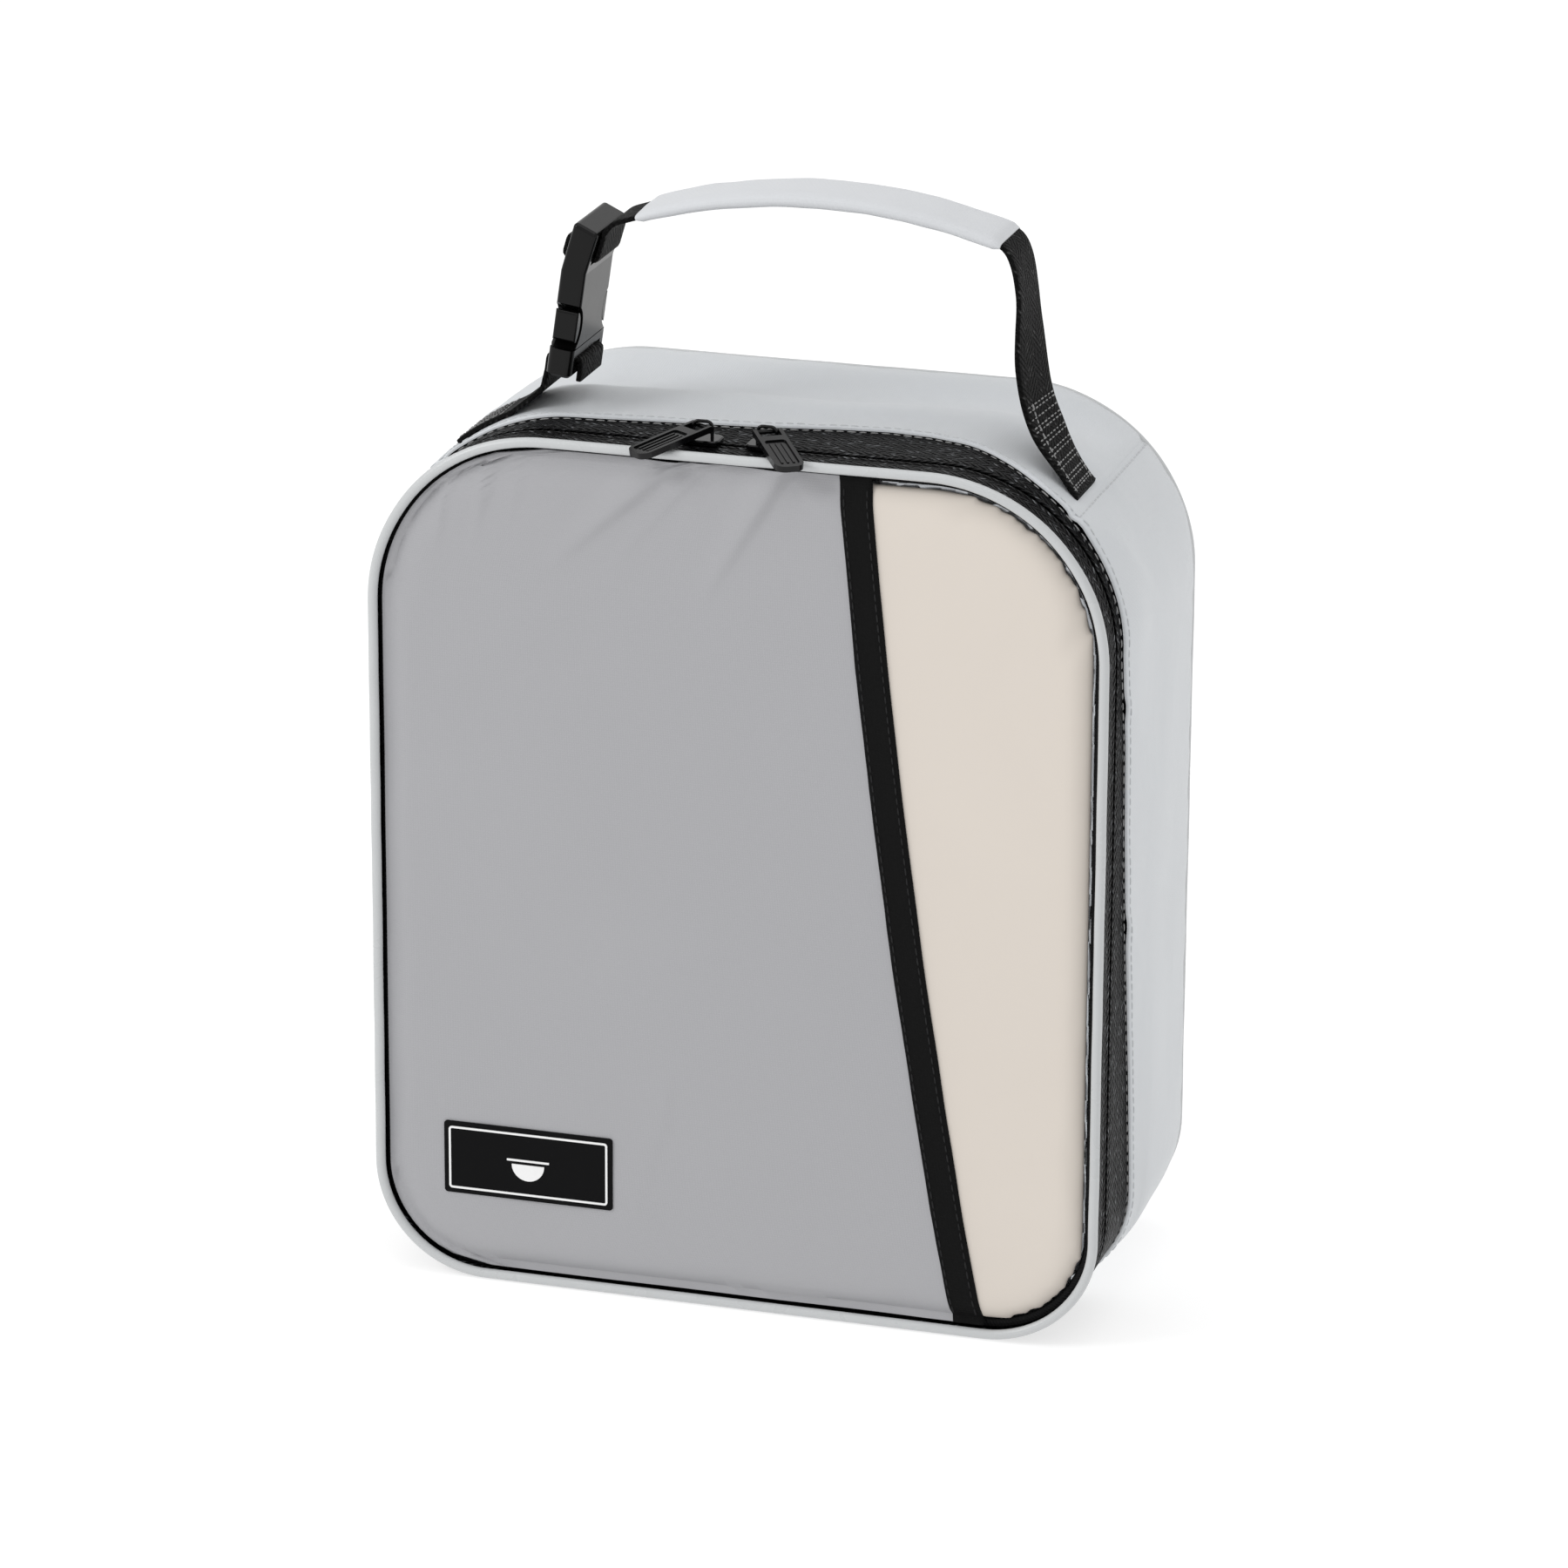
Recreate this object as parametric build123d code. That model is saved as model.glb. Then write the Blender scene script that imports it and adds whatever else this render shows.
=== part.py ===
from build123d import *
from math import atan2, cos, degrees, radians, sin
import os

# Insulated lunch bag with a front door that zips on three sides, a slip pocket on the door,
# a webbing handle with a padded grip and a side-release buckle.
# Millimetres. The origin is the centre of the base, on the table. +X right, +Y back, +Z up.

# Bag body
width = 220.0
height = 260.0
depth = 105.0
top_radius = 53.0
bottom_radius = 34.0
seam_angle = 46.0            # where the top gusset is sewn to the lower one, round each top corner

# Cloth, padding and edges
fabric = 1.0
foam = 4.0
lining = 0.8
piping_radius = 2.5
piping_bite = 1.0            # how far a panel's edge is caught in the piping
pocket_cloth = 0.8
clearance = 0.3              # between pieces that move past each other

# Zip
tape_width = 8.2             # what shows of the door's tape
body_tape_width = 11.0       # what shows of the bag's tape
tape = 1.0
groove = 1.6                 # between the two tapes, where the slider's post runs
tape_tuck = 6.0              # hidden under the gusset's front edge
coil_width = 2.2
coil_height = 1.5
zip_end_x = 56.0             # the zip ends on the bottom edge, this far from the middle
end_tab = 5.0

# Sliders and pulls
slider_length = 11.0
slider_width = 8.0
slider_plate = 1.4
slider_under = 1.0
post_width = 1.1
post_length = 3.0
slider_x = {"left": -13.0, "right": 6.0}
bail_wire = 1.0
bail_span = 5.6
bail_height = 5.2
pull_length = 25.0
pull_width = 8.5
pull_thick = 1.8
pull_bar = 1.3
pull_eye = 4.6
pull_wall = 1.15
pull_sink = 0.5
pull_round = 3.0
pull_rib = 0.6               # width of each raised rib on a pull
pull_rib_gap = 1.7           # middle to middle
pull_rib_end = 1.5           # between a rib's end and the rim
bail_round = 1.6
pull_yaw = {"left": 236.0, "right": 303.0}

# Pocket and label on the door
pocket_top_x = 35.0          # middle of the pocket's bound edge at the top of the door
pocket_bottom_x = 72.0
pocket_bow = 3.5             # how far the edge bows sideways between its ends
bound_edge = 9.4
label_width = 52.0
label_height = 22.5
label_thick = 0.8
label_round = 1.0
label_from_side = 47.7
label_z = 37.8
motif_thick = 0.3
motif_margin = 1.5           # from the label's edge to the motif's frame
motif_line = 0.6
bowl_radius = 5.0
bowl_rim = 13.0              # length of the line above the bowl
bowl_gap = 0.95              # between the bowl and the line

# Handle
webbing_width = 20.0
webbing = 1.6
handle_back = 4.7            # from the zip's band to the webbing's front edge
fold_height = 10.0           # of the handle's fold line above the top of the bag
anchor_low = 49.0            # where each sewn end starts and stops, in degrees round its corner
anchor_high = {"left": 62.0, "right": 52.0}
strap_bow_rise = 28.0        # where the right strap changes its lean, above the top of the bag
strap_bow_out = 2.1          # how far it has leaned out there, and at its foot
strap_foot_out = 10.0
strap_bow_radius = 60.0
grip_end_in = {"left": 72.0, "right": 41.0}      # from each side of the bag to that end of the grip
grip_rise = 67.2             # top of the grip's webbing above the top of the bag
grip_sag = 8.7
grip_cover = 0.8
grip_pad = 0.6
strap_corner = 5.5
strap_turn = 6.0             # bend radius where the grip's webbing turns down to the buckle
slot_turn = 4.0
wrap_radius = 1.2            # of the webbing's inside bend round a buckle bar
stub = 7.0

# Side-release buckle, in its own frame: length up, width along Y, thickness across
buckle_length = 46.0
buckle_thick = 7.5
buckle_side = 2.75           # plastic beside a webbing slot in the female half
male_side = 4.25
buckle_lean = 8.0
buckle_in = 49.7             # from the bag's left side to the buckle
buckle_rise = 11.2           # bottom of the buckle above the top of the bag
low_bar = 3.3
bar_height = 3.4
base_top = 2.4               # plastic above the male half's slot
base_round = 1.8
base_chamfer = 0.8
slot_room = 1.0              # in a slot's height, over the webbing
slot_side_room = 0.75
top_bar = 4.0
female_bend = 31.0           # above here the female half leans further
female_shift = 2.2
female_fall = 2.4            # slope of its end face
female_round = 1.3
socket_wall = 1.35           # over and under the cavity
socket_side = 2.9            # beside the cavity
cavity_top = 30.0
ledge_low = 21.6
ledge_top = 23.0
barb_roof = 1.5              # plastic left above the room for the barbs
barb_wall = 1.0
arm_root = 9.6               # height of the line that each arm bends about
arm_in = 4.2                 # from the socket's side to the middle of an arm
arm_thick = 2.0
arm_top = 26.6
barb_in = 1.4                # from the socket's side to a barb's tip
scallop_out = 2.7            # centre of a scallop, outside the socket's side
scallop_radius = 7.0
pad_radius = 5.7
pad_proud = 0.3
pad_depth = 10.0
pad_round = 0.8
spine_half = 3.6

slot_width = webbing_width + 2 * slot_side_room
slot_height = webbing + slot_room
female_width = slot_width + 2 * buckle_side
buckle_width = slot_width + 2 * male_side
male_base = low_bar + slot_height + base_top
cavity_half = female_width / 2 - socket_side
cavity_thick = buckle_thick - 2 * socket_wall
barb_room = female_width / 2 - barb_wall
barb_out = female_width / 2 - barb_in
arm_y = female_width / 2 - arm_in
arm_width = cavity_thick - 2 * clearance
scallop_y = female_width / 2 + scallop_out
pad_out = female_width / 2 + pad_proud

front = -depth / 2
back = depth / 2
piping_y = {"front": front + piping_radius, "back": back - piping_radius}
door_tape_end = front + 2 * piping_radius + tape_width
body_tape_start = door_tape_end + groove
groove_y = door_tape_end + groove / 2
gusset_start = body_tape_start + body_tape_width
padding_start = gusset_start + tape_tuck
shell_wall = fabric + foam + lining
panel_inset = 2 * piping_radius - piping_bite
panel_y = piping_y["front"] - fabric / 2
label_x = label_from_side - width / 2
handle_y = gusset_start + handle_back + webbing_width / 2
buckle_x = buckle_in - width / 2


def upright(y):
    """A plane that faces the front, at y. Its own axes are X and Z."""
    return Plane(origin=(0, y, 0), x_dir=(1, 0, 0), z_dir=(0, -1, 0))


def outline(inset):
    """The bag's front outline, drawn in by inset."""
    face = Pos(0, height / 2) * Rectangle(width - 2 * inset, height - 2 * inset)
    face = fillet(face.vertices().group_by(Axis.Y)[-1], top_radius - inset)
    return fillet(face.vertices().group_by(Axis.Y)[0], bottom_radius - inset)


def slab(inset, y0, y1):
    """The outline as a solid from y0 to y1."""
    return extrude(upright(y1) * outline(inset), amount=y1 - y0)


def ring(outer, inner, y0, y1):
    """A wall that follows the outline, between two insets."""
    return extrude(upright(y1) * (outline(outer) - outline(inner)), amount=y1 - y0)


def block(x0, x1, y0, y1, z0, z1):
    """A box between two corners."""
    return Pos((x0 + x1) / 2, (y0 + y1) / 2, (z0 + z1) / 2) * Box(x1 - x0, y1 - y0, z1 - z0)


def zip_gap():
    """The bottom stretch that has no zip."""
    return block(-zip_end_x, zip_end_x, front, back, -1, bottom_radius / 2)


def hinge_room():
    """The bottom stretch that the door's cloth hinge fills."""
    half = zip_end_x - clearance
    return block(-half, half, front, back, -1, bottom_radius / 2)


def piping(y):
    """A round cord edge along the whole outline."""
    path = (upright(y) * outline(piping_radius)).faces()[0].outer_wire()
    start = Plane(origin=path @ 0, z_dir=path % 0)
    return sweep(start * Circle(piping_radius), path=path)


def above_seams():
    """The space above the two corner seams of the gusset."""
    corner_x = width / 2 - top_radius
    corner_z = height - top_radius
    reach = 2 * top_radius
    out_x = corner_x + reach * cos(radians(seam_angle))
    out_z = corner_z + reach * sin(radians(seam_angle))
    points = [(corner_x, corner_z), (out_x, out_z), (-out_x, out_z), (-corner_x, corner_z)]
    return extrude(upright(back) * make_face(Polyline(*points, close=True)), amount=depth)


def gusset():
    """The cloth wall round the bag, as its top and its lower piece."""
    wall = ring(0, fabric, gusset_start, piping_y["back"] - piping_bite)
    top = above_seams()
    return wall & top, wall - top


def tape_wall(y0, y1):
    """Zip tape along the top, the sides and round the bottom corners."""
    return ring(fabric, fabric + tape, y0, y1) - zip_gap()


def coil_wall(y0, y1):
    """One half of the zip's coil, under the tape's edge."""
    inset = fabric + tape
    return ring(inset, inset + coil_height, y0, y1) - zip_gap()


def end_tabs():
    """The two cloth tabs that close the zip's ends."""
    inset = fabric + tape
    tabs = []
    for side in (-1, 1):
        x = sorted((side * zip_end_x, side * (zip_end_x - end_tab)))
        tabs.append(block(*x, groove_y - coil_width, gusset_start, inset, inset + coil_height))
    return Compound(children=tabs)


def pocket_edge(offset):
    """The pocket's slanting edge, moved sideways by offset, as a gentle arc."""
    middle = (pocket_top_x + pocket_bottom_x) / 2 - pocket_bow + offset
    return ThreePointArc(
        (pocket_top_x + offset, height), (middle, height / 2), (pocket_bottom_x + offset, 0)
    )


def left_of_edge(offset):
    """Everything on the door to the left of the pocket's edge."""
    edge = pocket_edge(offset)
    rest = Polyline((pocket_bottom_x + offset, 0), (-width, 0), (-width, height),
                    (pocket_top_x + offset, height))
    return make_face([edge, *rest.edges()])


def pocket():
    """The pocket's cloth and the binding along its open edge."""
    inside = outline(2 * piping_radius)
    cloth = inside & left_of_edge(-bound_edge / 2)
    strip = (inside & left_of_edge(bound_edge / 2)) - left_of_edge(-bound_edge / 2)
    cloth = extrude(upright(panel_y) * cloth, amount=pocket_cloth)
    strip = extrude(upright(panel_y) * strip, amount=2 * pocket_cloth)
    return cloth, strip


def label():
    """A moulded patch and its raised motif: a frame, and a bowl on a line."""
    centre = Pos(label_x, label_z)
    patch = RectangleRounded(label_width, label_height, label_round)
    patch = extrude(upright(panel_y - pocket_cloth) * centre * patch, amount=label_thick)
    inner = motif_margin + motif_line
    rim = RectangleRounded(label_width - 2 * motif_margin, label_height - 2 * motif_margin, label_round)
    rim -= RectangleRounded(label_width - 2 * inner, label_height - 2 * inner, label_round / 2)
    bowl = Circle(bowl_radius) & Pos(0, -bowl_radius / 2) * Rectangle(3 * bowl_radius, bowl_radius)
    line = Pos(0, bowl_gap + motif_line / 2) * Rectangle(bowl_rim, motif_line)
    motif = upright(panel_y - pocket_cloth - label_thick) * centre * (rim + bowl + line)
    return patch, extrude(motif, amount=motif_thick)


tape_top = height - fabric
coil_bottom = tape_top - tape - coil_height
plate_bottom = tape_top + clearance
plate_top = plate_bottom + slider_plate
pull_z = plate_top + bail_height - bail_wire - clearance - pull_bar / 2


def slider_plate_solid(x, bottom, thick):
    """One rounded plate of a slider, centred on the groove."""
    plate = Pos(x, groove_y, bottom + thick / 2) * Box(slider_length, slider_width, thick)
    return fillet(plate.edges().filter_by(Axis.Z), slider_width / 4)


def slider_body(x, inward):
    """Plates over and under the zip, joined by a post in its groove at the inner end."""
    top = slider_plate_solid(x, plate_bottom, slider_plate)
    top = chamfer(top.faces().sort_by(Axis.Z)[-1].edges(), slider_plate / 4)
    under_top = coil_bottom - clearance
    under = slider_plate_solid(x, under_top - slider_under, slider_under)
    post_x = x + inward * slider_length / 4
    post_z = (under_top + plate_bottom) / 2
    post = Pos(post_x, groove_y, post_z) * Box(post_length, post_width, plate_bottom - under_top)
    return top + under + post


def slider_bail(x):
    """The wire arch that the pull's eye swings on."""
    half = bail_span / 2
    rise = bail_height - bail_wire / 2
    arch = FilletPolyline((-half, 0), (-half, rise), (half, rise), (half, 0), radius=bail_round)
    path = upright(groove_y) * Pos(x, plate_top) * arch
    start = Plane(origin=path @ 0, z_dir=path % 0)
    return sweep(start * Circle(bail_wire / 2), path=path)


def pull_tilt(yaw):
    """How far a pull droops to lie just clear of the front piping, in degrees."""
    across = abs(cos(radians(yaw))) * pull_width / 2
    run = (groove_y - piping_y["front"] + across) / abs(sin(radians(yaw)))
    drop = pull_z - pull_thick / 2 - height - clearance
    return degrees(atan2(drop, run))


def pull_solid():
    """A flat pull along +X from its eye, with a raised rim and three ribs."""
    plan = Pos(pull_length / 2, 0) * Rectangle(pull_length, pull_width)
    plan = fillet(plan.vertices().group_by(Axis.X)[-1], pull_round)
    plan -= Pos(pull_eye / 2, 0) * Rectangle(pull_eye, pull_width - 2 * pull_wall)
    body = extrude(plan, amount=pull_thick / 2, both=True)
    rim_length = pull_length - pull_eye - 4 * pull_wall
    middle = pull_eye + 2.5 * pull_wall + rim_length / 2
    panel = Pos(middle, 0) * RectangleRounded(rim_length, pull_width - 2 * pull_wall, pull_wall)
    sunk = pull_thick / 2 - pull_sink
    body -= Pos(0, 0, sunk) * extrude(panel, amount=pull_sink)
    for y in (-pull_rib_gap, 0, pull_rib_gap):
        rib = Box(rim_length - 2 * pull_rib_end, pull_rib, pull_sink / 2)
        body += Pos(middle, y, sunk + pull_sink / 4) * rib
    return body + Rot(90, 0, 0) * Cylinder(pull_bar / 2, pull_width)


def zip_pull(x, yaw):
    """A pull hanging from its bail over the front edge of the bag."""
    return Pos(x, groove_y, pull_z) * Rot(0, 0, yaw) * Rot(0, pull_tilt(yaw), 0) * pull_solid()


corner_x = width / 2 - top_radius
corner_z = height - top_radius
fold_z = height + fold_height
strap_bottom = fold_z - webbing_width / 2
grip_z = height + grip_rise
grip_right = (width / 2 - grip_end_in["right"], grip_z - grip_sag)
grip_left = (grip_end_in["left"] - width / 2, grip_z - grip_sag)
grip_path = ThreePointArc(grip_left, ((grip_left[0] + grip_right[0]) / 2, grip_z), grip_right)


def corner_point(angle, radius, side):
    """A point round a top corner, in X and Z."""
    x = corner_x + radius * cos(radians(angle))
    return side * x, corner_z + radius * sin(radians(angle))


def strap_solid(path, thick=webbing, wide=webbing_width):
    """A flat strap whose edge view follows a path in X and Z, centred on the handle."""
    face = Sketch() + [trace(edge, line_width=thick) for edge in path.edges()]
    return extrude(upright(handle_y) * face, amount=wide / 2, both=True)


def handle_anchor(side):
    """A strap end sewn round a top corner, with a short free stub."""
    radius = top_radius + webbing / 2
    low = corner_point(anchor_low, radius, side)
    top = anchor_high["left" if side < 0 else "right"]
    middle = corner_point((anchor_low + top) / 2, radius, side)
    high = corner_point(top, radius, side)
    slope = radians(90 - top)
    if side < 0:
        free = Line(high, (high[0] + stub * cos(slope), high[1] + stub * sin(slope)))
    else:
        free = Line(high, (grip_right[0] + stub * 0.6 + strap_foot_out, strap_bottom - webbing / 2))
    return strap_solid(ThreePointArc(low, middle, high)) + strap_solid(free)


def buckle_place():
    """Puts the buckle's own frame on the left strap."""
    return Pos(buckle_x, handle_y, height + buckle_rise) * Rot(0, buckle_lean, 0)


def buckle_point(across, along):
    """A point of the buckle's edge view, in X and Z."""
    lean = radians(buckle_lean)
    x = buckle_x + across * cos(lean) + along * sin(lean)
    return x, height + buckle_rise - across * sin(lean) + along * cos(lean)


half_thick = buckle_thick / 2
high_slot = buckle_length - top_bar - slot_height / 2
low_slot = high_slot - slot_height - bar_height
male_slot = low_bar + slot_height / 2
mouth = male_base + clearance


def female_lean(along):
    """How far across the female half has leaned at a height."""
    return female_shift * max(0, along - female_bend) / (buckle_length - female_bend)


def fold_trim():
    """Room for the free straps: round below the fold line, open above it."""
    low = Pos(0, handle_y, fold_z) * Rot(0, 90, 0) * Cylinder(webbing_width / 2, 2 * width)
    high = Pos(0, handle_y, fold_z + height / 2) * Box(2 * width, 2 * webbing_width, height)
    return low + high


def handle_webbing():
    """The right strap, the length in the grip, and the loop through the buckle's top slots."""
    slope = 4 * grip_sag / (grip_right[0] - grip_left[0])
    bend = (grip_right[0] + stub * 0.6, grip_right[1] - stub * 0.6 * slope)
    foot = bend[0] + strap_foot_out
    strap = FilletPolyline(grip_right, bend, (bend[0] + strap_bow_out, height + strap_bow_rise),
                           (foot, strap_bottom), radius=[strap_corner, strap_bow_radius])
    over = half_thick + webbing / 2 + clearance
    top_corner = buckle_length - female_fall
    leave = (grip_left[0] - stub, grip_left[1] - stub * slope)
    loop = FilletPolyline(
        grip_left, leave, buckle_point(over + female_lean(top_corner), top_corner),
        buckle_point(over + female_lean(low_slot), low_slot),
        buckle_point(female_lean(low_slot) - over, low_slot),
        buckle_point(female_lean(high_slot) - over, high_slot),
        buckle_point(female_lean(high_slot) + half_thick - webbing, high_slot),
        radius=[strap_turn, strap_turn, wrap_radius, wrap_radius, wrap_radius])
    return (strap_solid(strap) + strap_solid(grip_path) + strap_solid(loop)) & fold_trim()


def lower_webbing():
    """The short length from the left corner that loops round the male half's bar."""
    outer = half_thick + webbing / 2 + clearance
    under = -webbing
    foot = corner_point(anchor_high["left"], top_radius + webbing / 2, -1)
    start = (foot[0] + stub, strap_bottom)
    rise = (buckle_x - stub * 0.9, height + buckle_rise / 2)
    path = FilletPolyline(
        start, rise, buckle_point(-outer, 0), buckle_point(-outer, male_slot),
        buckle_point(outer, male_slot), buckle_point(outer, under), rise,
        radius=[2 * wrap_radius, slot_turn, wrap_radius, wrap_radius, wrap_radius])
    return strap_solid(path) & fold_trim()


def grip_layer(inner, thick):
    """A flat tube round the grip's webbing, inner and thick measured from the webbing's face."""
    outer = 2 * (inner + thick)
    solid = strap_solid(grip_path, webbing + outer, webbing_width + outer)
    return solid - strap_solid(grip_path, webbing + 2 * inner, webbing_width + 2 * inner)


def edge_view(points, wide):
    """A solid from an outline in the buckle's thickness and length."""
    face = Plane(origin=(0, 0, 0), x_dir=(1, 0, 0), z_dir=(0, -1, 0)) * make_face(
        Polyline(*points, close=True))
    return extrude(face, amount=wide / 2, both=True)


def is_bend(edge):
    """One of the two shallow bends across the female half."""
    return abs(edge.center().Z - female_bend) < clearance and edge.length > buckle_thick


def female_half():
    """The socket: a flat box with scalloped sides, a leaning top and two webbing slots."""
    edge = [(-half_thick, mouth), (half_thick, mouth), (half_thick, female_bend),
            (half_thick + female_shift, buckle_length - female_fall),
            (female_shift - half_thick, buckle_length), (-half_thick, female_bend)]
    body = edge_view(edge, female_width)
    above = [edge for edge in body.edges() if edge.center().Z > mouth + female_round]
    body = fillet([edge for edge in above if not is_bend(edge)], female_round)
    body -= Pos(0, 0, (mouth + cavity_top) / 2) * Box(cavity_thick, 2 * cavity_half, cavity_top - mouth)
    room = cavity_top - barb_roof - ledge_top
    body -= Pos(0, 0, ledge_top + room / 2) * Box(cavity_thick, 2 * barb_room, room)
    for side in (-1, 1):
        body -= Pos(0, side * scallop_y, (mouth + ledge_low) / 2) * Rot(0, 90, 0) * Cylinder(
            scallop_radius, 2 * buckle_thick)
    for slot in (high_slot, low_slot):
        body -= Pos(0, 0, slot) * Box(4 * buckle_thick, slot_width, slot_height)
    return body


def male_half():
    """The base with its webbing bar, and the spine that slides into the socket."""
    base = Pos(0, 0, male_base / 2) * Box(buckle_thick, buckle_width, male_base)
    base = fillet(base.edges().filter_by(Axis.Z), base_round)
    base = chamfer(base.faces().sort_by(Axis.Z)[0].edges(), base_chamfer)
    base -= Pos(0, 0, male_slot) * Box(2 * buckle_thick, slot_width, slot_height)
    spine_length = ledge_low - male_base
    return base + Pos(0, 0, male_base + spine_length / 2) * Box(arm_width, 2 * spine_half, spine_length)


def buckle_arm(side):
    """One springy arm: a press pad in the socket's scallop, and a barb behind its ledge."""
    middle = (mouth + ledge_low) / 2
    inner = arm_y - arm_thick / 2
    arm = Pos(0, arm_y, (arm_root + arm_top) / 2) * Box(arm_width, arm_thick, arm_top - arm_root)
    arm += Pos(0, arm_y, arm_root) * Rot(0, 90, 0) * Cylinder(arm_thick / 2, arm_width)
    barb = Polyline((inner, ledge_top + clearance), (barb_out, ledge_top + clearance),
                    (arm_y + arm_thick / 2, arm_top), (inner, arm_top), close=True)
    arm += extrude(Plane.YZ * make_face(barb), amount=arm_width / 2, both=True)
    disc = Pos(0, scallop_y, middle) * Rot(0, 90, 0) * Cylinder(pad_radius, buckle_thick - 2 * clearance)
    pad = disc & (Pos(0, pad_out - pad_depth / 2, middle) * Box(buckle_thick, pad_depth, 4 * pad_radius))
    pad = fillet(pad.faces().sort_by(Axis.Y)[-1].edges(), pad_round)
    neck_length = pad_out - inner - arm_thick / 2
    neck = Pos(0, (inner + pad_out) / 2, middle) * Box(arm_width, neck_length, pad_radius)
    arm += pad + neck
    return arm if side > 0 else mirror(arm, Plane.XZ)


def front_panel():
    return slab(panel_inset, panel_y, panel_y + fabric)


def save(name, shape):
    """Writes one named piece."""
    export_step(shape, f"parts/{name}.step")
    print(name, round(shape.volume, 1))


def shell_parts():
    """Everything that stays put: the gusset, the back, the lining and the sewn strap ends."""
    top, lower = gusset()
    back_panel = slab(panel_inset, piping_y["back"] + fabric / 2, piping_y["back"] + 1.5 * fabric)
    pad_back = piping_y["back"] + fabric / 2
    pad_front = pad_back - foam
    tub = ring(shell_wall - lining, shell_wall, padding_start, pad_front)
    return {
        "gusset_top": top,
        "gusset_lower": lower,
        "back_panel": back_panel,
        "back_piping": piping(piping_y["back"]) - top - lower - back_panel,
        "gusset_foam": ring(fabric, fabric + foam, padding_start, piping_y["back"] - piping_radius),
        "back_foam": slab(max(fabric + foam, 2 * piping_radius), pad_front, pad_back),
        "lining_tub": tub + slab(shell_wall - lining, pad_front - lining, pad_front),
        "opening_binding": ring(fabric + tape, shell_wall + clearance, padding_start - foam, padding_start),
        "zip_tape_body": tape_wall(body_tape_start, padding_start),
        "zip_coil_body": coil_wall(body_tape_start, body_tape_start + coil_width),
        "zip_end_tabs": end_tabs(),
        "hinge_strip": ring(fabric, fabric + tape, front + 2 * piping_radius + clearance,
                            padding_start) & hinge_room(),
        "handle_anchor_left": handle_anchor(-1),
        "handle_anchor_right": handle_anchor(1),
    }


def door_parts():
    """The front door, with its pocket, label, edge, padding and half of the zip."""
    panel = front_panel()
    cloth, strip = pocket()
    patch, motif = label()
    tape_front = front + 2 * piping_radius - piping_bite
    door_tape = tape_wall(tape_front, door_tape_end)
    pad_front = panel_y + fabric
    pad_back = pad_front + foam
    return {
        "front_panel": panel,
        "pocket_panel": cloth,
        "pocket_binding": strip,
        "label_patch": patch,
        "label_motif": motif,
        "front_piping": piping(piping_y["front"]) - panel - door_tape,
        "front_foam": slab(2 * piping_radius, pad_front, pad_back),
        "front_lining": slab(2 * piping_radius, pad_back, pad_back + lining),
        "door_binding": ring(fabric + tape, 2 * piping_radius, front + 2 * piping_radius, pad_back + lining),
        "zip_tape_door": door_tape,
        "zip_coil_door": coil_wall(door_tape_end - coil_width, door_tape_end),
    }


def zip_parts():
    """Two sliders, each with its bail and its pull."""
    parts = {}
    for name, inward in (("left", 1), ("right", -1)):
        x = slider_x[name]
        parts[f"slider_{name}"] = slider_body(x, inward)
        parts[f"slider_bail_{name}"] = slider_bail(x)
        parts[f"zip_pull_{name}"] = zip_pull(x, pull_yaw[name])
    return parts


def handle_parts():
    """The webbing, the grip and the side-release buckle."""
    place = buckle_place()
    return {
        "handle_webbing": handle_webbing(),
        "grip_padding": grip_layer(0, grip_pad),
        "grip_sleeve": grip_layer(grip_pad, grip_cover),
        "lower_webbing": lower_webbing(),
        "buckle_female": place * female_half(),
        "buckle_male": place * male_half(),
        "buckle_arm_front": place * buckle_arm(-1),
        "buckle_arm_rear": place * buckle_arm(1),
    }


os.makedirs("parts", exist_ok=True)
for group in (shell_parts(), door_parts(), zip_parts(), handle_parts()):
    for name, shape in group.items():
        save(name, shape)
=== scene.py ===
# %% [markdown]
# # A zipped lunch bag, dressed over its imported frame
# The frame holds every hard part at its true size: sliders, pulls, buckle and label.
# Cloth, padding, tapes and straps are only plain solids there, so each is made again here as what it is.
# We load the frame first.

# %% Load the frame
import math

import bmesh
import bpy
import numpy as np
from mathutils import Matrix, Vector, noise
from mathutils.bvhtree import BVHTree


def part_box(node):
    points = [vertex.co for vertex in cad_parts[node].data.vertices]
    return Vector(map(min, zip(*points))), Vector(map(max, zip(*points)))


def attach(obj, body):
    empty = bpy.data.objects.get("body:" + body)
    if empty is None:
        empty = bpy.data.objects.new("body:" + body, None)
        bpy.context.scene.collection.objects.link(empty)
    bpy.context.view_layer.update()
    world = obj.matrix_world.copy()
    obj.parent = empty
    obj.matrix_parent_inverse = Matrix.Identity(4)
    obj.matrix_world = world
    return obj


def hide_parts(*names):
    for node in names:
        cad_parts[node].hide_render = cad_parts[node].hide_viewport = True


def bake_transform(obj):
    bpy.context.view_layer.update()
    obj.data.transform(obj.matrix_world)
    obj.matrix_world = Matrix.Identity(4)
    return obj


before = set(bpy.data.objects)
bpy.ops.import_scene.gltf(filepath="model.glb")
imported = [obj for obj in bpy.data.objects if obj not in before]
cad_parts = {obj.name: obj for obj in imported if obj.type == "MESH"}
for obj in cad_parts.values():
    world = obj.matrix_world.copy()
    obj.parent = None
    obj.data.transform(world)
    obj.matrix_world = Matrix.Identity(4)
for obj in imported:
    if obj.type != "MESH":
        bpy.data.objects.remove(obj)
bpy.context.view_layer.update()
MM = 0.001


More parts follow.
